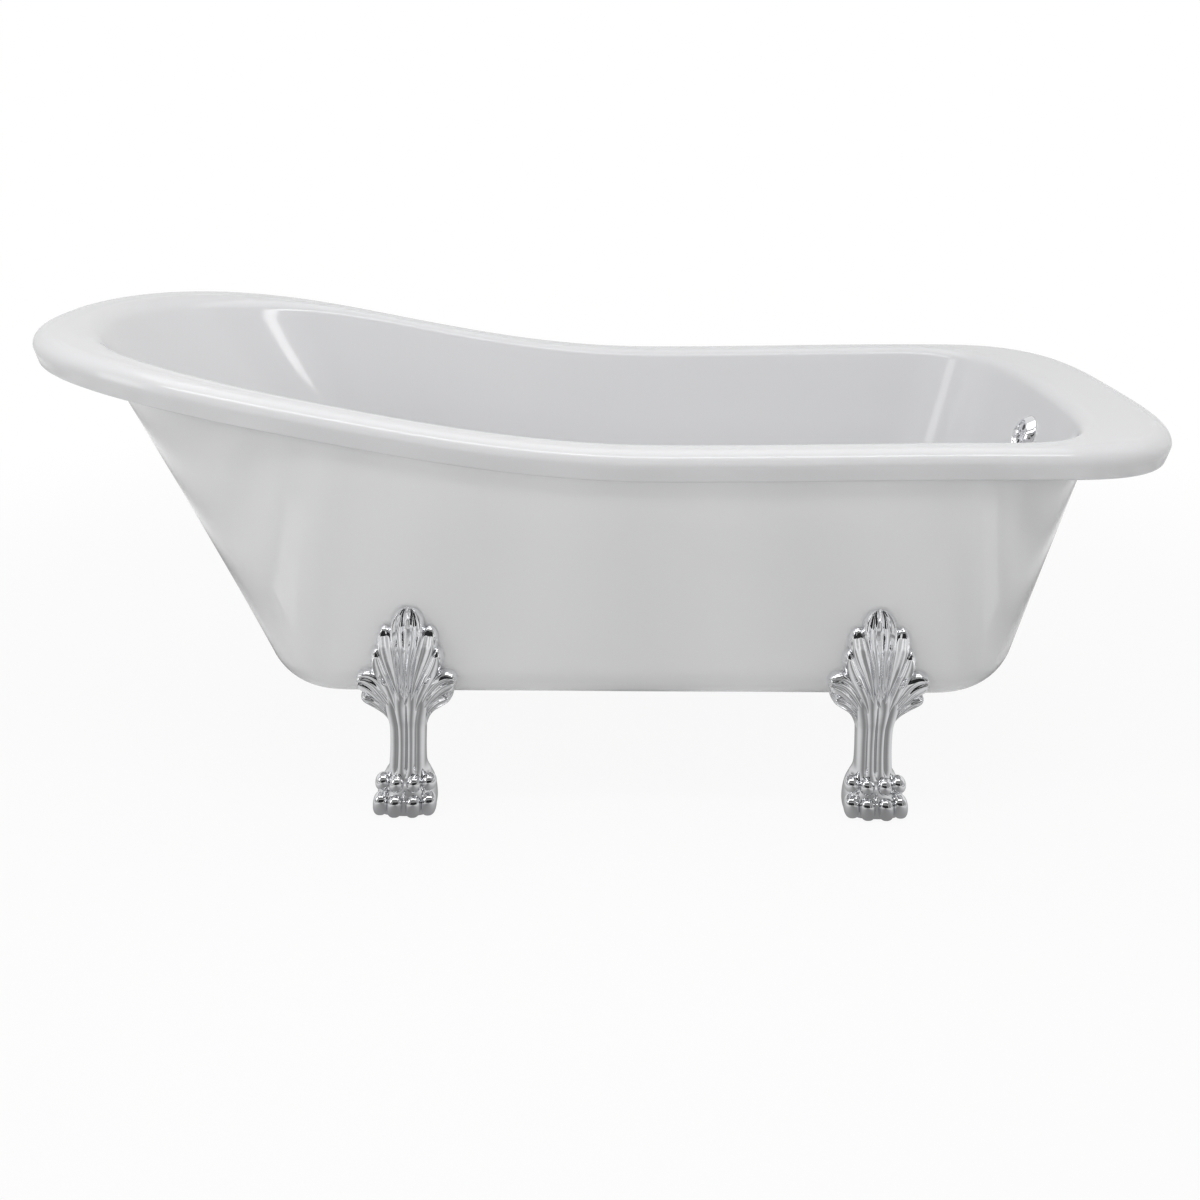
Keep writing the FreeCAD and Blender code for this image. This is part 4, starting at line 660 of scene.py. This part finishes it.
FAN_LOW = [
    (24, 156, 4), (27.4, 176, 6.5), (36, 197, 10.5), (48, 212, 13.6), (58, 219, 12.4),
    (64, 222, 8.6), (67.6, 223.5, 4.4), (69, 224, 0.5),
]
# the side lobes' stations, swell of the crown, depth behind the leaf's front, and relief
LOBES = [
    (SECOND, 5.0, 5.0, leaf_relief),
    (THIRD, 5.5, 7.0, None),
    (FAN_HIGH, 7.0, 11.0, fan_relief),
    (FAN_LOW, 6.0, 12.0, curl_relief),
]
# the paw's toes on one side, each a claw and a knuckle: centre, half sizes and squareness
OUTER_TOE = [((37.8, 19.0, 19.6), (12.4, 15.0, 19.6), 2.5), ((36.0, 15.0, 57.5), (12.2, 14.0, 15.0), 2.1)]
INNER_TOE = [((14.3, 26.0, 19.6), (12.8, 15.0, 19.6), 2.5), ((13.6, 22.0, 57.5), (12.4, 14.0, 15.0), 2.1)]
# the studs between the toes: place across, outward reach; then height and half width of each
STUDS = [(-30.0, 26.0), (0.0, 31.0), (30.0, 26.0)]
STUD_BEADS = [(38.0, 4.6), (31.0, 2.6), (45.0, 2.6)]
STUD_DEPTH, STUD_POWER = 4.5, 1.3


def foot_shells():
    """All closed shells of one upright casting: across, outward, up, in mm."""
    shells = [reeded_shaft()]
    shells.append(petal(TONGUE, 2.5, 0.0, tongue_relief, TONGUE_ROWS, TONGUE_COLUMNS))
    bead_out, bead_half = EYE_BEAD
    for side in (1.0, -1.0):
        for path, crown, sink, relief in LOBES:
            shells.append(petal([(side * a, z, w) for a, z, w in path], crown, sink, relief))
        shells.append(teardrop(side))
        shells.append(blob((side * EYE_ACROSS, bead_out, EYE_HEIGHT), bead_half))
    for side, toe in ((-1.0, OUTER_TOE), (-1.0, INNER_TOE), (1.0, INNER_TOE), (1.0, OUTER_TOE)):
        for (across, out, up), half, power in toe:
            shells.append(blob((side * across, out, up), half, power))
    for across, out in STUDS:
        for up, wide in STUD_BEADS:
            shells.append(blob((across, out, up), (wide, STUD_DEPTH, wide), STUD_POWER))
    shells.append(slab(*BRACKET))
    rib = np.array(BRACKET_RIB)
    sides = [np.column_stack([0 * rib[:, 0] + a, rib]) for a in (-RIB_HALF, RIB_HALF)]
    shells.append(closed_grid(sides, True))
    return shells


def placed_foot(shells, end, side):
    """The casting at its place: sheared by its lean along the bath, and set at its side."""
    lean = FOOT_LEAN / FOOT_TOP * (1.0 if end == "head" else -1.0)
    sign = -1.0 if side == "near" else 1.0
    moved = []
    for points, faces in shells:
        across, out, up = points.T / 1000.0
        x = FOOT_X[end] + across + lean * up
        moved.append((np.column_stack([x, sign * (FOOT_Y + out), up]), faces))
    return moved


CHROME_DULL, CHROME_BRIGHT = (0.84, 0.845, 0.86), (0.92, 0.925, 0.94)


def cast_chrome(name, relief):
    """Bright plating over a polished casting: slightly darker clouds, faint unevenness."""
    finish = Finish(name, Metallic=1.0, Roughness=0.04)
    cloud = finish.noise(30.0, 4.0)
    finish.feed("Base Color", finish.blend(cloud, CHROME_DULL, CHROME_BRIGHT))
    finish.feed("Roughness", finish.noise(90.0, 3.0) * 0.05 + 0.015)
    finish.bump(finish.noise(160.0, 2.0), relief, 0.5)
    return finish.material


chrome_cast = cast_chrome("cast_chrome", 0.00015)
casting = foot_shells()
for end in ("head", "tap"):
    for side in ("near", "far"):
        foot = piece("claw_foot_%s_%s" % (side, end), placed_foot(casting, end, side), FOOT_SHARP)
        foot.data.materials.append(chrome_cast)
        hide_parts("foot_%s_%s" % (side, end))
        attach(foot, "bath")

# ---------------------------------------------------------------------------
# Waste and click-clack plug
# The plug's cap: polished and chromed brass with a domed top. It rides up on its stem out of the
# flange, which the body below clamps to the basin floor.
# ---------------------------------------------------------------------------

LATHE_STEPS = 96
PLUG_RADIUS = 0.031
PLUG_THICKNESS = 0.003
PLUG_CROWN = 0.0035
PLUG_BORE = 0.004
PLUG_SHARP = 60.0


def lathe(profile, centre, axis):
    """A turned shell: (radius, height) pairs spun round an axis through a centre."""
    turn = np.linspace(0.0, 2.0 * math.pi, LATHE_STEPS, endpoint=False)
    axis = np.array(axis, float)
    side = np.cross(axis, (0.0, 1.0, 0.0))
    side /= np.linalg.norm(side)
    other = np.cross(axis, side)
    arm = np.cos(turn)[:, None] * side + np.sin(turn)[:, None] * other
    return [np.array(centre) + arm * radius + axis * height for radius, height in profile]


plug_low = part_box("plug_cap")[0]
plug_profile = [(PLUG_BORE, 0.0), (PLUG_RADIUS - 0.001, 0.0), (PLUG_RADIUS - 0.0002, 0.0004)]
plug_profile += [(PLUG_RADIUS, 0.001), (PLUG_RADIUS, PLUG_THICKNESS - 0.001)]
for turn in np.linspace(0.0, 0.5 * math.pi, 16)[:-1]:
    rise = PLUG_THICKNESS + PLUG_CROWN * math.sin(turn) - 0.0002
    plug_profile.append(((PLUG_RADIUS - 0.0004) * math.cos(turn), rise))
plug_rings = lathe(plug_profile, (WASTE_X, 0.0, plug_low.z), (0.0, 0.0, 1.0))
plug = piece("plug_dome", [closed_grid(plug_rings, True)], PLUG_SHARP)
plug.data.materials.append(cast_chrome("plug_chrome", 0.0001))
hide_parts("plug_cap")
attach(plug, "plug")

# ---------------------------------------------------------------------------
# Overflow rosette and knob
# A turned and chromed cover on the tap-end wall, its dished face pierced by six round openings,
# held by the threaded knob in its middle.
# ---------------------------------------------------------------------------

ROSETTE_RADIUS, ROSETTE_DEPTH = 0.035, 0.013
DISH_DEPTH, DISH_WEB = 0.006, 0.0025
SLOT_RADIUS, SLOT_PITCH, SLOT_REACH, SLOTS = 0.0050, 0.0148, 0.005, 6
KNOB_RADIUS, KNOB_REACH = 0.0075, 0.021
OFF_WALL = 0.0001
ROSETTE_SHARP = 38.0
# radius and height above the wall, in metres
rosette_profile = [
    (0.0034, DISH_DEPTH - DISH_WEB), (0.022, DISH_DEPTH - DISH_WEB), (0.0322, 0.0002),
    (ROSETTE_RADIUS - 0.0003, 0.0002), (ROSETTE_RADIUS, 0.0007), (ROSETTE_RADIUS, 0.0014),
    (ROSETTE_RADIUS - 0.0010, 0.0034), (0.0308, 0.0076), (0.0280, 0.0110), (0.0268, 0.0122),
    (0.0260, 0.0128), (0.0252, ROSETTE_DEPTH), (0.0245, 0.0127), (0.0240, 0.0119), (0.0235, 0.0098),
    (0.0230, 0.0076), (0.0222, 0.0064), (0.0212, DISH_DEPTH), (0.0034, DISH_DEPTH),
]
rosette_seat = overflow_place + overflow_axis * OFF_WALL
rosette_rings = lathe(rosette_profile + rosette_profile[:1], rosette_seat, overflow_axis)
rosette = piece("overflow_rosette", [closed_grid(rosette_rings)], ROSETTE_SHARP)
level_side = np.array([0.0, 1.0, 0.0])
up_side = np.cross(overflow_axis, level_side)
openings = []
for step in range(SLOTS):
    turn = 2.0 * math.pi * (step + 0.5) / SLOTS
    shift = SLOT_PITCH * (math.cos(turn) * up_side + math.sin(turn) * level_side)
    centre = rosette_seat + shift + overflow_axis * DISH_DEPTH
    openings.append((centre, overflow_axis, SLOT_RADIUS, SLOT_REACH))
cut_holes(rosette, openings, ROSETTE_SHARP)
rosette.data.materials.clear()
rosette.data.materials.append(cast_chrome("rosette_chrome", 0.0001))
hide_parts("overflow_cover")
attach(rosette, "bath")

# the knob's shank runs back through the wall; radius and height above the wall
knob_profile = [
    (0.0029, -0.0200), (0.0029, DISH_DEPTH), (0.0070, DISH_DEPTH), (KNOB_RADIUS, DISH_DEPTH + 0.0006),
    (0.0062, 0.0100), (0.0062, 0.0150), (KNOB_RADIUS, 0.0168), (0.0073, 0.0182), (0.0066, 0.0194),
    (0.0052, 0.0203), (0.0030, 0.0208), (0.0010, KNOB_REACH),
]
knob_rings = lathe(knob_profile, rosette_seat, overflow_axis)
knob = piece("overflow_knob_head", [closed_grid(knob_rings, True)])
knob.data.materials.append(cast_chrome("knob_chrome", 0.0001))
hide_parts("overflow_knob")
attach(knob, "bath")

# ---------------------------------------------------------------------------
# Pieces that keep their shape from the construction
# Fittings, fixings, timber and rubber, each with the finish of its own material.
# ---------------------------------------------------------------------------


def turned_metal(name, low, high, rough):
    """Metal with the fine rings that turning or plating leaves."""
    finish = Finish(name, Metallic=1.0, Roughness=rough)
    cloud = finish.noise(120.0, 4.0)
    finish.feed("Base Color", finish.blend(cloud, low, high))
    finish.feed("Roughness", finish.noise(400.0, 2.0) * 0.12 + (rough - 0.06))
    finish.bump(finish.noise(700.0, 2.0), 0.00008, 0.4)
    return finish.material


def timber(name, low, high, scale):
    """Wood: long grain streaks along the bath with darker year rings."""
    finish = Finish(name, Roughness=0.7)
    stretched = finish.node("ShaderNodeMapping", None, finish.place(), Scale=(1.5, 26.0, 26.0))
    grain = finish.noise(scale, 6.0, 0.6, stretched)
    rings = finish.node(
        "ShaderNodeTexWave", {"wave_type": "BANDS", "bands_direction": "Y"},
        Vector=finish.place(), Scale=14.0, Distortion=6.0, Detail=3.0, output="Fac",
    )
    finish.feed("Base Color", finish.blend(grain * 0.7 + rings * 0.3, low, high))
    finish.feed("Roughness", grain * 0.25 + 0.55)
    finish.bump(grain, 0.0006, 0.5)
    return finish.material


def moulded(name, low, high, rough, relief):
    """Plastic or rubber from a mould: nearly even colour and a fine satin grain."""
    finish = Finish(name, Roughness=rough)
    finish.feed("Base Color", finish.blend(finish.noise(40.0, 3.0), low, high))
    finish.feed("Roughness", finish.noise(200.0, 2.0) * 0.14 + (rough - 0.07))
    finish.bump(finish.noise(900.0, 2.0), relief, 0.5)
    return finish.material


FINISHES = {
    "fitting_chrome": cast_chrome("fitting_chrome", 0.0001),
    "zinc_steel": turned_metal("zinc_steel", (0.48, 0.48, 0.45), (0.62, 0.62, 0.60), 0.34),
    "brass_cartridge": turned_metal("brass", (0.62, 0.46, 0.18), (0.76, 0.60, 0.28), 0.28),
    "spring_steel": turned_metal("spring_steel", (0.50, 0.50, 0.51), (0.64, 0.64, 0.66), 0.22),
    "board_wood": timber("birch_board", (0.42, 0.28, 0.15), (0.66, 0.50, 0.32), 3.0),
    "bearer_wood": timber("pine_bearer", (0.50, 0.34, 0.17), (0.72, 0.55, 0.34), 2.2),
    "black_nylon": moulded("black_nylon", (0.030, 0.030, 0.031), (0.055, 0.055, 0.056), 0.45, 0.0001),
    "black_rubber": moulded("black_rubber", (0.020, 0.020, 0.020), (0.040, 0.040, 0.041), 0.72, 0.0002),
    "white_plastic": moulded("white_plastic", (0.74, 0.74, 0.72), (0.84, 0.84, 0.83), 0.38, 0.0001),
    "white_sealant": moulded("white_sealant", (0.78, 0.78, 0.77), (0.86, 0.86, 0.85), 0.5, 0.0002),
    "grey_hose": moulded("grey_hose", (0.32, 0.32, 0.33), (0.44, 0.44, 0.46), 0.55, 0.0003),
}
CAD_SHARP = 35.0
SLOT_OF = {row["node"]: row["material_slot"] for row in frame["record"]["subparts"]}
for label, node in nodes.items():
    if SLOT_OF[label] in FINISHES:
        node.data.materials.clear()
        node.data.materials.append(FINISHES[SLOT_OF[label]])
        node.data.shade_smooth()
        node.data.set_sharp_from_angle(angle=math.radians(CAD_SHARP))

# ---------------------------------------------------------------------------
# Studio
# A pale floor that keeps a faint shadow, white round it for the eye but greys for mirrors, soft
# lamps above and in front, and dark and white boards that show only in the chrome and the gloss.
# ---------------------------------------------------------------------------

FLOOR_REACH = 30.0
PAPER_TONE, PAPER_ROUGHNESS = 0.80, 0.9
# by distance from the bath's middle: the share of plain white that the eye sees in the floor
FLOOR_WHITE = {"From Min": 1.2, "From Max": 2.6, "To Min": 0.92, "To Max": 1.0}
# and the grey that mirrors see there
MIRROR_GREY = {"From Min": 1.05, "From Max": 1.5, "To Min": 0.46, "To Max": 0.74}
# that grey changes along the bath by depth * cos(rate * (x + shift)), darkest before each foot
WAVE_DEPTH, WAVE_RATE, WAVE_SHIFT = -0.22, 16.87, 0.296
# brightness of the surroundings: in mirrors that face the front or the back, on plain surfaces,
# and to the eye; the direction's y from front to back
GLOW_FRONT, GLOW_BACK, GLOW_PLAIN, GLOW_SEEN = 0.34, 0.8, 0.42, 1.0
BACK_FROM, BACK_FULL = 0.02, 0.06
BOARD_BLACK = (0.012, 0.012, 0.013, 1.0)
CARD_TONE, CARD_WIDE, CARD_TALL = 1.3, 0.16, 0.7
CARD_X, CARD_Y, CARD_Z = (-0.95, 1.1), -0.86, 0.006


def sheet(name, half_wide, half_tall):
    """A flat rectangle round the origin."""
    data = bpy.data.meshes.new(name)
    corners = [(-1, -1), (1, -1), (1, 1), (-1, 1)]
    data.from_pydata([(half_wide * x, half_tall * y, 0.0) for x, y in corners], [], [(0, 1, 2, 3)])
    made = bpy.data.objects.new(name, data)
    bpy.context.scene.collection.objects.link(made)
    return made


def by_distance(finish, distance, limits):
    """A smooth step between two values, 3t^2 - 2t^3, t the share of the way between two radii."""
    return finish.node(
        "ShaderNodeMapRange", {"interpolation_type": "SMOOTHSTEP"}, Value=distance, **limits
    )


floor = sheet("studio_floor", FLOOR_REACH, FLOOR_REACH)
paper = Finish("studio_paper", Roughness=PAPER_ROUGHNESS)
paper.shader.inputs["Base Color"].default_value = (PAPER_TONE, PAPER_TONE, PAPER_TONE, 1.0)
light_path = paper.tree.nodes.new("ShaderNodeLightPath")
seen = Signal(paper, light_path.outputs["Is Camera Ray"])
mirrored = Signal(paper, light_path.outputs["Is Glossy Ray"])
white = paper.node("ShaderNodeEmission", None, Color=(1.0, 1.0, 1.0, 1.0), Strength=1.0)
black = paper.node("ShaderNodeEmission", None, Color=(0.0, 0.0, 0.0, 1.0), Strength=0.0)
spread = paper.node("ShaderNodeVectorMath", {"operation": "LENGTH"}, paper.place(), output=1)
along = paper.node("ShaderNodeSeparateXYZ", None, paper.place(), output=0)
wave = paper.node("ShaderNodeMath", {"operation": "COSINE"}, (along + WAVE_SHIFT) * WAVE_RATE)
grey = paper.node(
    "ShaderNodeMixShader", None, by_distance(paper, spread, MIRROR_GREY) + wave * WAVE_DEPTH,
    black, white,
)
plain = Signal(paper, paper.shader.outputs[0])
in_mirrors = paper.node("ShaderNodeMixShader", None, mirrored, plain, grey)
mix = paper.node(
    "ShaderNodeMixShader", None, seen * by_distance(paper, spread, FLOOR_WHITE), in_mirrors, white
)
paper.tree.links.new(mix.socket, paper.tree.nodes["Material Output"].inputs["Surface"])
floor.data.materials.append(paper.material)

world = bpy.data.worlds.new("studio")
bpy.context.scene.world = world
world.use_nodes = True
tree = world.node_tree
tree.nodes.clear()


def glow(strength):
    """Plain white surroundings of one strength."""
    made = tree.nodes.new("ShaderNodeBackground")
    made.inputs["Color"].default_value = (1.0, 1.0, 1.0, 1.0)
    made.inputs["Strength"].default_value = strength
    return made


def world_mix(factor, first, second):
    """The second surroundings where the factor is 1, else the first."""
    made = tree.nodes.new("ShaderNodeMixShader")
    tree.links.new(factor, made.inputs[0])
    tree.links.new(first.outputs[0], made.inputs[1])
    tree.links.new(second.outputs[0], made.inputs[2])
    return made


path = tree.nodes.new("ShaderNodeLightPath")
direction = tree.nodes.new("ShaderNodeSeparateXYZ")
tree.links.new(tree.nodes.new("ShaderNodeTexCoord").outputs["Generated"], direction.inputs[0])
behind = tree.nodes.new("ShaderNodeMapRange")
tree.links.new(direction.outputs["Y"], behind.inputs["Value"])
behind.inputs["From Min"].default_value = BACK_FROM
behind.inputs["From Max"].default_value = BACK_FULL
mirrors = world_mix(behind.outputs["Result"], glow(GLOW_FRONT), glow(GLOW_BACK))
lit = world_mix(path.outputs["Is Glossy Ray"], glow(GLOW_PLAIN), mirrors)
clear = world_mix(path.outputs["Is Transmission Ray"], lit, glow(GLOW_SEEN))
shown = world_mix(path.outputs["Is Camera Ray"], clear, glow(GLOW_SEEN))
tree.links.new(shown.outputs[0], tree.nodes.new("ShaderNodeOutputWorld").inputs["Surface"])


def facing(place, aim):
    """The turn that points an object's -Z from its place at a point."""
    return (Vector(aim) - Vector(place)).to_track_quat("-Z", "Y").to_euler()


def lamp(name, place, aim, wide, tall, watts):
    """A rectangular soft lamp at a place, turned to face a point."""
    data = bpy.data.lights.new(name, "AREA")
    data.shape = "RECTANGLE"
    data.size, data.size_y, data.energy = wide, tall, watts
    made = bpy.data.objects.new(name, data)
    bpy.context.scene.collection.objects.link(made)
    made.location, made.rotation_euler = place, facing(place, aim)
    return made


lamp("top_lamp", (0.0, 0.1, 2.9), (0.0, 0.0, 0.3), 3.2, 1.8, 20.0)
lamp("strip_lamp", (0.0, -0.9, 2.0), (0.0, -0.3, 0.6), 2.6, 0.22, 10.0)
lamp("left_lamp", (-2.6, -1.4, 1.5), (-0.4, 0.0, 0.5), 1.0, 1.4, 8.5)
lamp("front_lamp", (-0.9, -3.0, 1.5), (0.0, 0.0, 0.4), 1.6, 0.7, 10.0).visible_glossy = False
lamp("right_lamp", (2.9, -1.0, 1.3), (0.5, 0.0, 0.5), 0.8, 1.4, 4.5).visible_glossy = False


def board(name, place, aim, wide, tall, tone=0.0):
    """A dark or shining board that only shows in reflections, as photographers put round chrome."""
    made = sheet(name, wide / 2.0, tall / 2.0)
    made.location, made.rotation_euler = place, facing(place, aim)
    card = Finish(name, Roughness=PAPER_ROUGHNESS, Emission_Strength=tone)
    card.shader.inputs["Base Color"].default_value = BOARD_BLACK
    card.shader.inputs["Emission Color"].default_value = (1.0, 1.0, 1.0, 1.0)
    made.data.materials.append(card.material)
    made.visible_camera = False
    made.visible_diffuse = False
    made.visible_shadow = False
    made.visible_transmission = False


board("dark_front", (0.05, -1.6, 0.37), (0.05, 0.0, 0.37), 1.9, 0.72)
board("dark_high", (0.0, -2.3, 2.1), (0.0, -0.3, 0.1), 3.4, 0.45)
board("dark_left", (-2.3, -2.6, 0.9), (0.0, 0.0, 0.3), 0.35, 1.7)
board("dark_right", (2.4, -2.5, 0.9), (0.0, 0.0, 0.3), 0.35, 1.7)
for spot, card_x in enumerate(CARD_X):
    place, above = (card_x, CARD_Y, CARD_Z), (card_x, CARD_Y, 1.0)
    board("white_card_%d" % spot, place, above, CARD_WIDE, CARD_TALL, CARD_TONE)

bpy.context.scene.view_settings.view_transform = "Standard"
